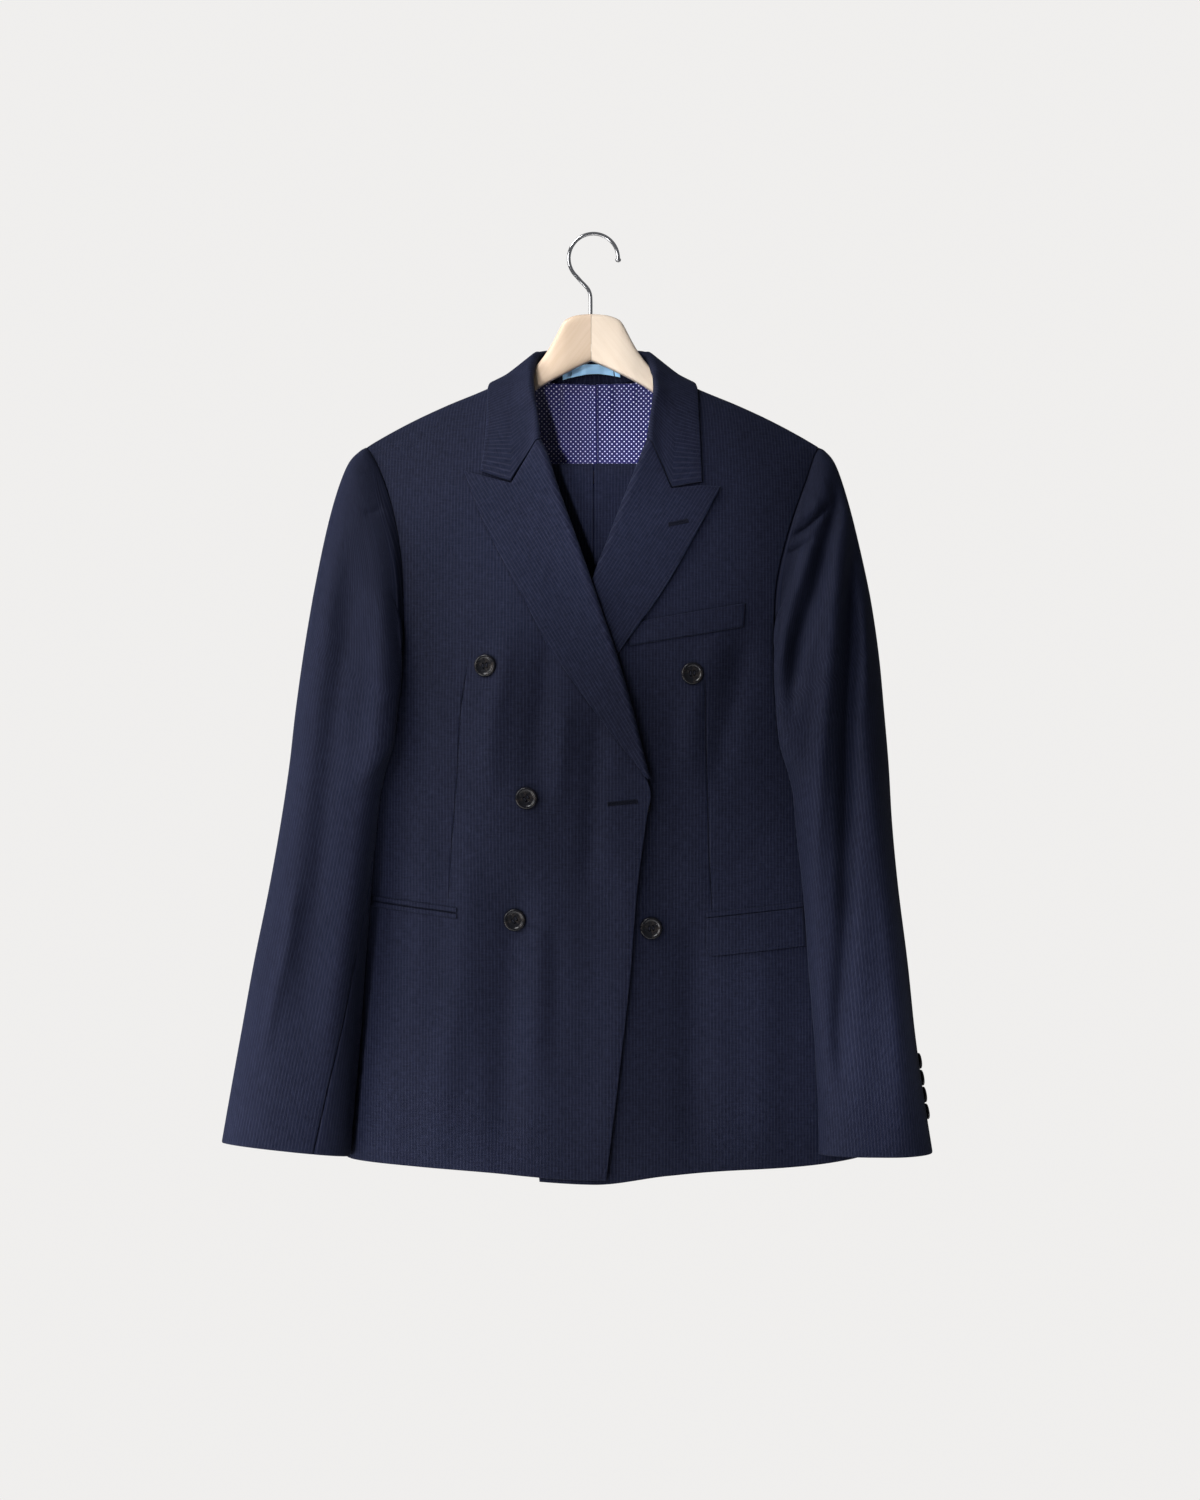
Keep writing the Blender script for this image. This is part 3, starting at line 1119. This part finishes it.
def horn():
    """Near-black polished horn with faint brown clouds."""
    m = Nodes("horn")
    place = m.place()
    cloud = m.noise(place, (220, 220, 90), 4.0, 0.6)
    colour = m.mix(m.ranged(cloud, 0.5, 0.75), (0.0045, 0.0047, 0.0065), (0.021, 0.017, 0.015))
    return m.finish(colour, m.line(cloud, 0.16, 0.17), m.noise(place, (1500, 1500, 1500)), 0.00003, 0.35,
                    Specular_IOR_Level=0.3, Coat_Weight=0.1, Coat_Roughness=0.08)


def birch(name, light, dark, lean):
    """Pale lacquered wood with fine grain along the arm."""
    m = Nodes(name)
    turn = m.add("ShaderNodeMapping")
    turn.inputs["Rotation"].default_value = (0, lean, 0)
    m.link(m.place(), turn.inputs[0])
    grain = m.noise(turn.outputs[0], (12, 160, 260), 4.0, 0.62)
    band = m.noise(turn.outputs[0], (5, 30, 42))
    pores = m.noise(turn.outputs[0], (60, 900, 1500), 2.0, 0.7)
    share = m.math("ADD", m.math("MULTIPLY", grain, 0.55), m.math("MULTIPLY", band, 0.45))
    tone = m.mix(m.ranged(share, 0.36, 0.64), light, dark)
    colour = m.mix(m.ranged(pores, 0.62, 0.8, 0.0, 0.35), tone, tuple(0.62 * c for c in dark))
    return m.finish(colour, m.line(grain, 0.18, 0.30), m.math("ADD", grain, pores), 0.00005, 0.35,
                    Specular_IOR_Level=0.45, Coat_Weight=0.25, Coat_Roughness=0.2)


def chrome():
    """Polished wire with light wear."""
    m = Nodes("chrome_wire")
    wear = m.noise(m.place(), (300, 300, 60), 4.0, 0.6)
    colour = m.mix(wear, (0.62, 0.62, 0.64), (0.80, 0.80, 0.81))
    return m.finish(colour, m.line(wear, 0.16, 0.06), wear, 0.00002, 0.3, Metallic=1.0)


def floor_paint():
    """Pale, even paint."""
    m = Nodes("floor_pale")
    cloud = m.noise(m.place(), (2, 2, 2), 3.0)
    colour = m.mix(cloud, (0.80, 0.79, 0.78), (0.84, 0.83, 0.82))
    return m.finish(colour, m.line(cloud, 0.1, 0.55), None, 0, 0)


WOOL = suit_cloth()
LINING, PLAIN_LINING = lining_satin("lining_dots", True), lining_satin("lining_plain", False)
RIBBON = ribbon_blue()
HORN = horn()
BUTTON_THREAD = dark_thread("button_thread", (0.016, 0.017, 0.026), 0.6)
PICK_THREAD = dark_thread("pick_thread", (0.0075, 0.0085, 0.017), 0.7)
HOLE_THREAD = dark_thread("buttonhole_thread", (0.0048, 0.0055, 0.0105), 0.75)
WOOD_RIGHT = birch("birch_right", (0.565, 0.445, 0.345), (0.49, 0.37, 0.265), 0.9)
WOOD_LEFT = birch("birch_left", (0.72, 0.61, 0.50), (0.655, 0.535, 0.42), -0.9)
CHROME = chrome()


# ---------------------------------------------------------------- the jacket's body


def body_cloud():
    """Points and normals all over the jacket's body, for what must stand clear of it."""
    fine = [front_grid(TOP_EDGE, ROLL_TOP, True, 30, 40, 36),
            front_grid(UNDER_EDGE, ROLL_UNDER, False, 30, 40, 36),
            side_grid(True, 50, 20), side_grid(False, 50, 20),
            back_grid(True, 30, 40, 20), back_grid(False, 30, 40, 20)]
    cloud = np.concatenate([g.reshape(-1, 3) for g in fine])
    normals = np.concatenate([outward(g).reshape(-1, 3) for g in fine])
    return cloud, normals, tree_of(cloud)


CLOUD = body_cloud()
LINED = [WOOL, PLAIN_LINING]

for side, edge, roll, on_left in (
    ("right", TOP_EDGE, ROLL_TOP, True),
    ("left", UNDER_EDGE, ROLL_UNDER, False),
):
    cloth(f"front_{side}", front_grid(edge, roll, on_left, 62, 84, 96, DARTS[side]), LINED, seams="TR")
    cloth(f"side_{side}", side_grid(on_left, 80, 26, dressed=True), LINED, seams="TLR")
    cloth(f"back_{side}", back_grid(on_left, 54, 62, 62, dressed=True), LINED, seams="TLR")

for side, roll, outer, tip, on_left, off in (
    ("right", ROLL_TOP, OUTER_TOP, TIP_EDGE_TOP, True, 3.0),
    ("left", ROLL_UNDER, OUTER_UNDER, TIP_EDGE_UNDER, False, 4.3),
):
    grid = lapel_grid(roll, outer, tip, on_left, off, 110, 60)
    cloth(f"lapel_{side}", grid, [WOOL], DOUBLE, facing=(0, 0, 0))

COLLAR_GRID = collar_grid(121, 10, 24, 9, CLOUD)
cloth("collar", COLLAR_GRID, [WOOL], DOUBLE)


# ---------------------------------------------------------------- sleeves

STATIONS = 190
for side, table, tilt, seam, elbow, on_left, creases in (
    ("right", SLEEVE_RIGHT, CUFF_TILT_RIGHT, FRONT_SEAM_RIGHT, ELBOW_SEAM_RIGHT, True, SLEEVE_RIGHT_CREASES),
    ("left", SLEEVE_LEFT, CUFF_TILT_LEFT, FRONT_SEAM_LEFT, ELBOW_SEAM_LEFT, False, SLEEVE_LEFT_CREASES),
):
    def upper(down, seam=seam, elbow=elbow):
        return np.linspace(elbow, smooth(down, seam)[0], 181)

    def under(down, seam=seam, elbow=elbow):
        return np.linspace(smooth(down, seam)[0], 360 + elbow, 181)

    sign = -1 if on_left else 1
    ring = between_rows(table, np.linspace(0, len(table) - 1, STATIONS))
    centre = (ring[:, (1, 4)] + ring[:, (3, 5)]) / 2
    for part, angles, columns in (("upper", upper, 150), ("under", under, 50)):
        points = sleeve_grid(table, on_left, tilt, angles, STATIONS, CLOUD, columns)
        n = facing_way(normals_of(points), points[..., :2] - centre[:, None])
        x, down = points[..., 0], -points[..., 2]
        # The front creases stay on the front half, and all creases fade out at the armhole.
        ahead = ramp(-n[..., 1], 0.05, 0.5) * ramp(points[..., 1] - centre[:, None, 1], 2, -14)
        behind = ramp(n[..., 1], 0.05, 0.5)
        sewn_fade = ramp(np.arange(STATIONS), 0, 10)[:, None]
        out = raised(points, creased(sign * x, down, SLEEVE_BACK_CREASES) * behind * sewn_fade, n)
        out[..., 1] -= creased(x, down, creases) * ahead * sewn_fade
        u = cap_across(points, table, round(0.385 * STATIONS), sign)
        cloth(f"sleeve_{side}_{part}", with_uv(out, u, lengths(points)), LINED, seams="TLR",
              facing=n.mean((0, 1)) if part == "under" else (sign * 0.5, -1, 0))


# ---------------------------------------------------------------- pockets, lining and label


def on_the_front(x, down, off, on_top):
    """A grid that lies this far off a front and follows its creases."""
    flat = placed(x, front_y(x, down, on_top), down)
    return with_uv(raised(flat, off + creased(x, down, FRONT_CREASES)), girth(x, down), down)


def strip(corners, off, left_side, rows, columns):
    """A flat piece on the jacket's front: its corners are x, down from upper left, clockwise."""
    u, v = np.meshgrid(np.linspace(0, 1, columns), np.linspace(0, 1, rows))
    x, down = [(1 - v) * ((1 - u) * a + u * b) + v * ((1 - u) * d + u * c) for a, b, c, d in zip(*corners)]
    return on_the_front(x, down, off, left_side)


def wrap_strip(left_side, start, arc, top, height, slope, off, columns, rows, corner=0.0):
    """A strip that runs from its inner end round towards the side, by length of arc."""
    fine = np.linspace(0, 1, 200)
    d = np.full(200, top, float)
    left, right = smooth(d, BODY)[..., 0], smooth(d, BODY)[..., 1]
    limit = left[0] + 1.5 if left_side else right[0] - 1.5
    x = start + (limit - start) * (1 - (1 - fine) ** 2)
    length = lengths(np.stack([x, body(x, d)], -1))
    at = np.linspace(0, min(arc, length[-1] - 1), columns)
    px = np.interp(at, length, x)
    v = np.linspace(0, 1, rows)[:, None]
    inside = np.clip(corner - at, 0, corner)
    cut_off = corner - np.sqrt(np.maximum(corner**2 - inside**2, 0)) if corner else 0
    down = top + slope * np.abs(px - start) + v * (height - cut_off)
    return on_the_front(np.broadcast_to(px, down.shape), down, off, left_side)


for name, grid, thick, seams in (
    ("breast_welt", strip(((37, 372), (142, 353.5), (140.5, 376), (33, 394)), 1.2 + CLOTH / 2, False, 14, 50),
     1.6, "BR"),
    ("pocket_right_jet_upper", wrap_strip(True, -125, 150, 636.6, 4.4, -0.12, 1.9, 70, 6), 1.0, "T"),
    ("pocket_right_jet_lower", wrap_strip(True, -125, 150, 642.6, 4.4, -0.12, 1.9, 70, 6), 1.0, "B"),
    ("pocket_left_jet", wrap_strip(False, 106, 124, 641, 5, -0.1, 1.6, 60, 6), 1.0, "T"),
    ("pocket_left_flap", wrap_strip(False, 106, 124, 646.4, 36, -0.1, 2.3, 70, 22, corner=9.0), 1.4, "T"),
):
    under = "front_right_cloth" if "right" in name else "front_left_cloth"
    cloth(name, grid, [WOOL], thick, seams)

YOKE_HALF, YOKE_END, PLEAT_X = 118, 332, 3.9
LABEL_ENDS, LABEL_TOP, LABEL_DIP = (-28.6, 26.4), 119, 4  # it is least tall at the dip
YOKE_PUCKERS = (
    (((-35, 132), (-33, 150), (-33, 172)), 2.6, 2.6),
    (((-27, 130), (-28, 150), (-27, 166)), 3.5, -1.0),
    (((16, 132), (17, 155), (15, 176)), 2.6, 2.8),
    (((23, 130), (24, 150), (22, 170)), 3.5, -1.0),
    (((39, 130), (40, 148), (38, 160)), 2.4, 2.4),
    (((-60, 150), (-52, 200), (-50, 260)), 8.0, 1.0),
    (((60, 150), (56, 210), (52, 270)), 8.0, 1.0),
    (((-12, 190), (-14, 215), (-12, 235)), 5.0, -0.6),
)
at = np.concatenate([np.linspace(-YOKE_HALF, YOKE_HALF, 110), PLEAT_X + np.linspace(-2, 2, 17)])
x, down = np.meshgrid(np.sort(at), np.linspace(0, 1, 90))
neck = np.where(np.abs(x) < 66, 137.4 - 3.2 * ramp(np.abs(x), 30, 62), ridge(x) + 12)
down = neck + (YOKE_END - neck) * down
yoke = placed(x, body(x, down, True), down)
fold = 3.0 * ramp(x, PLEAT_X + 0.5, PLEAT_X - 0.1) * ramp(x, PLEAT_X - 16, PLEAT_X - 1)
# The lining faces the wearer, so what rises towards the viewer moves against the outward normal.
yoke = yoke - outward(yoke) * (2.2 + 0.9 * fold + creased(x, down, YOKE_PUCKERS))[..., None]
cloth("lining_yoke", with_uv(yoke, x, down), [LINING], THIN, facing=(0, -1, 0))

x, share = np.meshgrid(np.linspace(*LABEL_ENDS, 56), np.linspace(0, 1, 12))
away = x - LABEL_DIP
tall = 9.2 + np.where(away < 0, 6.4 * (away / 32.6) ** 2, 4.8 * (away / 25) ** 2)
down = LABEL_TOP + tall * share
stand = COLLAR_GRID[30:-30, :, :3]
foot, head = [np.interp(x, stand[:, k, 0], stand[:, k, 1]) for k in (0, 9)]
y = head + (foot - head) * (down - 110) / 29.5 - 2.9 - 0.35 * np.sin(x / 4.1 + 0.6) * (1 - share)
cloth("label", with_uv(placed(x, y, down), x, down), [RIBBON], 0.8, facing=(0, -1, 0),
      ending="ribbon")


# ---------------------------------------------------------------- trousers


def leg_path(ply, steps):
    """The fold of one ply over the bar, as y and down, with the hem end in front."""
    r = LEG_PLIES[0] + LEG_PLIES[1] * ply
    front = [(-r, BAR_DOWN + (LEG_FRONT_DOWN - BAR_DOWN) * q) for q in np.linspace(1, 0, steps)]
    turn = [(-r * math.cos(t), BAR_DOWN - r * math.sin(t)) for t in np.linspace(0, math.pi, 19)[1:-1]]
    back = [(r, BAR_DOWN + (LEG_BACK_DOWN - BAR_DOWN) * q) for q in np.linspace(0, 1, steps)]
    return np.array(front + turn + back) + (BAR_Y, 0)


LEG_SEAM_X = 1.2
for leg, plies in (("right", (2, 3)), ("left", (0, 1))):
    inner, outer = leg_path(plies[0], 40), leg_path(plies[1], 40)
    s = np.linspace(0, 1, len(inner))
    half = 98 + 16 * ramp(s, 0.1, 0.5) + 34 * ramp(s, 0.55, 0.9)
    for panel, sign in (("front", -1), ("back", 1)):
        fractions = np.concatenate([[0.0015], np.linspace(0.03, 0.93, 22)])
        columns = [placed(sign * half * q, *outer.T) for q in fractions]
        for t in np.linspace(0, math.pi, 7)[1:-1]:
            lay = (outer + inner) / 2 + (outer - inner) / 2 * math.cos(t)
            columns.append(placed(sign * (half * 0.93 + 6.5 * math.sin(t)), *lay.T))
        columns += [placed(sign * half * q, *inner.T) for q in fractions[::-1]]
        grid = np.stack(columns, 1) + (LEG_SEAM_X, 0, 0)
        grid = with_uv(grid, lengths(grid[len(s) // 2]), lengths(outer)[:, None])
        cloth(f"leg_{leg}_{panel}", grid, [WOOL], THIN, "L", facing=(0, 0, 0), dip=0.35)
    band = outer if leg == "right" else inner
    x, down = np.meshgrid(np.linspace(-BAND_HALF, BAND_HALF, 60), LEG_BACK_DOWN + np.linspace(0.4, 38, 12))
    grid = with_uv(placed(x, np.full(x.shape, band[-1, 0]), down), down, x)
    cloth(f"waistband_{leg}", grid, [WOOL], THIN)


# ---------------------------------------------------------------- buttons and sewing


def lathe(profile, around):
    """Points and faces of a round turned about Z: its radius and height at each step."""
    ring = np.concatenate([*circle(around), np.zeros((around, 1))], 1)
    return loft([ring * r + (0, 0, h) for r, h in profile])


def carved(obj, holes):
    """The object's mesh with round holes cut out of it: their paths, radii and sides."""
    cutters = [new_object("hole", *tube(*hole)) for hole in holes]
    for cutter in cutters:
        modifier = obj.modifiers.new(cutter.name, "BOOLEAN")
        modifier.operation = "DIFFERENCE"
        modifier.object = cutter
        modifier.solver = "EXACT"
    graph = bpy.context.evaluated_depsgraph_get()
    mesh = bpy.data.meshes.new_from_object(obj.evaluated_get(graph))
    obj.modifiers.clear()
    obj.data = mesh
    for cutter in cutters:
        bpy.data.objects.remove(cutter)
    mesh.shade_smooth()
    mesh.set_sharp_from_angle(angle=math.radians(38))
    return mesh


def button_mesh(name, radius, thick):
    """A round with a raised rim, a dished middle and four holes, facing +Z from its underside."""
    apart = HOLE_APART * radius
    made = new_object(name, *lathe([(radius * r, thick * h) for r, h in BUTTON_PROFILE], 56), [HORN])
    paths = [[(sx * apart, sy * apart, z) for z in (-1.0, thick + 1)] for sx in (-1, 1) for sy in (-1, 1)]
    mesh = carved(made, [(path, 0.1 * radius, 14) for path in paths])
    bpy.data.objects.remove(made)
    return mesh


def place_button(name, mesh, spot, normal, radius, thick, spin):
    """A button on its shank with its threads through the holes, its +Z along the normal."""
    n = unit(normal)
    aside = unit(np.cross((0, 0, 1), n))
    up = np.cross(n, aside)
    c, s = math.cos(spin), math.sin(spin)
    axes = np.stack([aside * c + up * s, up * c - aside * s, n])
    made = bpy.data.objects.new(f"{name}_horn", mesh)
    bpy.context.scene.collection.objects.link(made)
    matrix = np.eye(4)
    matrix[:3, :3] = axes.T
    matrix[:3, 3] = spot * MM
    made.matrix_world = Matrix(matrix.tolist())
    dress(made, name)
    apart, top = HOLE_APART * radius, BUTTON_PROFILE[-1][1] * thick
    parts = [tube([(sx * apart + shift, apart * math.cos(t), top - 0.5 + 0.95 * math.sin(t))
                   for t in np.linspace(0, math.pi, 9)], 0.2, 6) for sx in (-1, 1) for shift in (-0.16, 0.16)]
    parts.append(lathe([(1.5, -0.75), (1.25, -0.3), (1.4, 0.2)], 12))
    parts = [(points @ axes + spot, faces) for points, faces in parts]
    joined(f"{name}_thread", parts, [BUTTON_THREAD])


FRONT_BUTTON = button_mesh("front_button", BUTTON_R, BUTTON_THICK)
CUFF_BUTTON = button_mesh("cuff_button", CUFF_BUTTON_R, CUFF_BUTTON_THICK)


def on_front(x, down, on_top):
    """Point and outward normal of the front's middle surface, with its creases."""
    px, pd = np.array(((x, x + 2), (x, x + 2))), np.array(((down, down), (down + 2, down + 2)))
    p = placed(px, front_y(px, pd, on_top), pd)
    n = outward(p)[0, 0]
    return p[0, 0] + n * float(creased(np.array(float(x)), np.array(float(down)), FRONT_CREASES)), n


for (x, down, on_top, name), spin in zip(FRONT_BUTTONS, (0.15, 0.7, 0.75, 0.1, 0.0, 0.12)):
    spot, n = on_front(x, down, on_top)
    place_button(name, FRONT_BUTTON, spot + n * (CLOTH / 2 + 0.55), n, BUTTON_R, BUTTON_THICK, spin)

for side, table, tilt, at, on_left in (
    ("right", SLEEVE_RIGHT, CUFF_TILT_RIGHT, CUFF_BUTTONS_RIGHT, True),
    ("left", SLEEVE_LEFT, CUFF_TILT_LEFT, CUFF_BUTTONS_LEFT, False),
):
    def three(down, at=at):
        return np.array((at - 3, at, at + 3))

    strand = sleeve_grid(table, on_left, tilt, three, 60, None)[30:]
    centre = np.array(((-285, 0) if on_left else (262, 0)))
    for k, down in enumerate(CUFF_BUTTON_DOWN):
        def read(column, step=0.0):
            return read_off([down + step], -strand[:, column, 2], strand[:, column])[0]

        spot, n = read(1), unit(np.cross(read(2) - read(0), read(1, 8) - read(1, -8)))
        n = facing_way(n, spot[:2] - centre)
        place_button(f"cuff_button_{side}_{k + 1}", CUFF_BUTTON, spot + n * (CLOTH / 2 + 0.75), n,
                     CUFF_BUTTON_R, CUFF_BUTTON_THICK, 0.3 * k)


def lapel_spot(side, x, down):
    """Nearest point of a lapel's right side to a place seen from the front, and its normal."""
    points, normals = SEWN[f"lapel_{side}"]
    flat, ways = points[:, 14:].reshape(-1, 3), normals[:, 14:].reshape(-1, 3)
    near = np.hypot(flat[:, 0] - x, -flat[:, 2] - down).argsort()[:4]
    way = facing_way(unit(ways[near].mean(0)), (0, -1, 0))
    return np.array([x, flat[near, 1].mean(), -down]) + way * DOUBLE / 2, way


def buttonhole(name, first, last, on_surface):
    """A worked buttonhole: two close rows of stitches across the slit, and a bar at each end."""
    parts = []
    spots = [on_surface(*(np.asarray(first) + (np.asarray(last) - first) * q)) for q in np.linspace(0, 1, 26)]
    run = unit(spots[-1][0] - spots[0][0])
    for spot, way in spots:
        sideways = np.cross(run, way)
        for hand in (-1, 1):
            parts.append(thread_piece(spot + sideways * hand, sideways, way, 2.1, 0.46, 0.15))
    for spot, way in (spots[0], spots[-1]):
        parts.append(thread_piece(spot, np.cross(run, way), way, 4.2, 0.6, 0.25))
    joined(name, parts, [HOLE_THREAD])


def top_front(x, down):
    """Point and normal of the right side of the front that lies on top."""
    spot, n = on_front(x, down, True)
    return spot + n * CLOTH / 2, n


buttonhole("buttonhole_front", (14.6, 540.0), (41.2, 537.4), top_front)
buttonhole("buttonhole_lapel", (71.0, 281.0), (88.6, 277.4), lambda x, down: lapel_spot("left", x, down))

picks = []
for name, edge, depth, thick in (
    ("lapel_right", "R", 3.6, DOUBLE), ("lapel_left", "R", 3.6, DOUBLE), ("collar", "R", 3.6, DOUBLE),
    ("pocket_left_flap", "B", 3.4, 1.4), ("breast_welt", "T", 3.0, 1.6),
):
    picks += stitches(*inset_line(*SEWN[name], edge, depth, thick))
for name in ("lapel_right", "lapel_left"):
    points, normals = SEWN[name]
    half = points.shape[1] // 2 + 6
    picks += stitches(*inset_line(points[:, half:], normals[:, half:], "T", 3.4, DOUBLE))
points, normals = SEWN["front_right"]
start = int(np.searchsorted(-points[:, 0, 2], 530))
picks += stitches(*inset_line(points[start:], normals[start:], "L", 4.2, CLOTH))
for side, on_top in (("right", True), ("left", False)):
    table = [(down, x) for x, down in DARTS[side]]
    levels_down = np.linspace(table[0][0] + 6, table[-1][0] - 4, 90)
    path, ways = zip(*[on_front(float(smooth(d, table)[0]), float(d), on_top) for d in levels_down])
    path, ways = np.array(path), np.array(ways)
    picks += stitches(path + ways * (CLOTH / 2 - 0.75), ways, pitch=4.6, length=1.9, radius=0.3)
tack, way = on_front(-43.1, 390.6, True)
picks.append(thread_piece(tack + way * CLOTH / 2, np.array((-0.6, 0, -1.0)), way, 3.2, 0.5, 0.1))
joined("pick_stitches", picks, [PICK_THREAD])


# ---------------------------------------------------------------- hanger


BAR_PATH = [(x, BAR_Y, -BAR_DOWN) for x in np.linspace(-BAR_HALF, BAR_HALF, 9)]


def hanger_half(side, name, wood):
    """One arm of the hanger, bored for the hook and the bar."""
    shape = [(np.sign(w) * np.abs(w) ** 0.5)[:, 0] for w in circle(40)]
    stations = along(ARM_WOOD, 90)
    rings = []
    for x, top, bottom, half, y in stations:
        drop = (top + bottom) / 2 - (bottom - top) / 2 * shape[1]
        shift = -1.3 * max(0, 1 - x / 30)
        rings.append(placed(np.full(40, side * x + shift), y + half * shape[0], drop))
    tip = rings[-1].mean(0)
    for grow, out in ((0.86, 1.4), (0.6, 2.4)):
        rings.append(tip + (rings[len(stations) - 1] - tip) * grow + (side * out, 0, 0))
    made = new_object(f"{name}_wood", *loft(rings), [wood])
    bar_hole = [(x, BAR_Y, -BAR_DOWN) for x in (-BAR_HALF - SEAM, BAR_HALF + SEAM)]
    carved(made, [([(WIRE_X, 0, -70), (WIRE_X, 0, -104)], 2.1, 24), (bar_hole, BAR_R + SEAM, 32)])
    dress(made, name)


hanger_half(-1, "hanger_half_right", WOOD_RIGHT)
hanger_half(1, "hanger_half_left", WOOD_LEFT)

bar = joined("hanger_bar_wood", [tube(BAR_PATH, BAR_R, 32)], [WOOD_LEFT], "hanger_bar")
bar.data.set_sharp_from_angle(angle=math.radians(40))

turn = np.radians(np.linspace(0, 228, 40))
arc = [(HOOK_X + HOOK_R * math.cos(t), 0, -HOOK_R + 1.25 + HOOK_R * math.sin(t)) for t in turn]
neck = [(-11.5, 0, -43.6), (-7.6, 0, -47.6), (-4.2, 0, -51.6), (-2.3, 0, -56.5), (WIRE_X, 0, -62),
        (WIRE_X, 0, -80), (WIRE_X, 0, -103.7)]
ball = np.linspace(-1, 1, 9)  # the knob at the wire's free end
knob = np.array(arc[0]) + (0, 0, -1.5) + np.array((0, 0, 2.3)) * ball[:, None]
path = np.concatenate([knob, arc[1:], along([arc[-1]] + neck, 60)[1:]])
radius = np.full(len(path), WIRE_R)
radius[:8] = 2.7 * np.sqrt(np.maximum(1 - ball[:8] ** 2, 0.02))
joined("hanger_hook_wire", [tube(path, radius, 24)], [CHROME], "hanger_hook")


# ---------------------------------------------------------------- stage, light and camera

FLOOR_Z, FLOOR_R = -1.62, 1.4
floor_ring = np.concatenate([FLOOR_R * w for w in circle(96)] + [np.full((96, 1), FLOOR_Z)], 1) / MM
floor = new_object("floor", floor_ring, [list(range(96))], [floor_paint()])

scene = bpy.context.scene
scene.view_settings.view_transform = "Standard"


BODY_MIDDLE = (0, 0, -0.5)
SOFTBOXES = (  # name, place, target, side, power, kept out of what polished things mirror?
    ("key_left", (-2.6, 0.0, 0.3), BODY_MIDDLE, 1.2, 104, True),
    ("key_front", (-2.4, -1.5, 0.3), BODY_MIDDLE, 1.2, 30, False),
    ("fill_left", (-1.4, -2.7, 0.4), BODY_MIDDLE, 1.0, 50, True),
    ("top_left", (-1.3, -1.0, 1.6), BODY_MIDDLE, 1.0, 35, False),
    ("low_left", (-1.3, -0.8, -1.35), (0, 0, -0.9), 0.6, 8, False),
)
POOLS = (  # spots that fade out smoothly from their middles: name, place, target, degrees, power
    ("pool_left", (-1.1, -1.7, -1.3), (-0.24, -0.05, -0.87), 15, 190),
    ("pool_side", (-0.1, -2.6, -0.6), (-0.215, -0.05, -0.56), 7, 200),
    ("pool_right", (-0.3, -2.1, -1.0), (0.19, -0.05, -0.64), 14, 70),
    ("pool_cuff", (-0.2, -2.4, -1.0), (0.29, -0.05, -0.77), 9, 260),
    ("pool_chest", (0.9, -2.0, 0.1), (0.20, -0.05, -0.30), 6.0, 40),
    ("pool_neck", (-0.75, -1.9, -0.5), (-0.025, 0, -0.16), 6.2, 56),
    ("pool_trousers", (-0.45, -2.6, -0.35), (0.008, 0, -0.265), 4.6, 800),
)


def light(name, kind, place, target, power, mirrored, **settings):
    """A lamp at one place that faces another."""
    data = bpy.data.lights.new(name, kind)
    data.energy = power
    for key, value in settings.items():
        setattr(data, key, value)
    made = bpy.data.objects.new(name, data)
    way = np.asarray(target, float) - place
    made.location = place
    made.rotation_euler = (math.atan2(math.hypot(way[0], way[1]), -way[2]), 0, math.atan2(-way[0], way[1]))
    made.visible_camera, made.visible_glossy = False, mirrored
    scene.collection.objects.link(made)


for name, place, target, side, power, hidden in SOFTBOXES:
    light(name, "AREA", place, target, power, not hidden, shape="RECTANGLE", size=side, size_y=side)
for name, place, target, degrees, power in POOLS:
    light(name, "SPOT", place, target, power, False, spot_size=math.radians(degrees), spot_blend=1.0,
          shadow_soft_size=0.12)

world = bpy.data.worlds.new("studio")
scene.world = world
world.use_nodes = True
tree = world.node_tree
# The camera sees a pale wall, and the suit is lit by a much dimmer sky.
sky, wall = tree.nodes["Background"], tree.nodes.new("ShaderNodeBackground")
wall.inputs["Color"].default_value = (0.87, 0.86, 0.85, 1)
sky.inputs["Color"].default_value = (0.93, 0.95, 1.0, 1)
sky.inputs["Strength"].default_value = 0.14
ray, mixed = tree.nodes.new("ShaderNodeLightPath"), tree.nodes.new("ShaderNodeMixShader")
for k, socket in enumerate((ray.outputs["Is Camera Ray"], sky.outputs[0], wall.outputs[0])):
    tree.links.new(socket, mixed.inputs[k])
tree.links.new(mixed.outputs[0], tree.nodes["World Output"].inputs["Surface"])

camera_data = bpy.data.cameras.new("camera")
camera_data.lens = 67.1
camera_data.sensor_width = 36.0
camera = bpy.data.objects.new("camera", camera_data)
camera.location = (0.0071, -2.66, -0.490)
camera.rotation_euler = (math.radians(90), 0, 0)
scene.collection.objects.link(camera)
scene.camera = camera
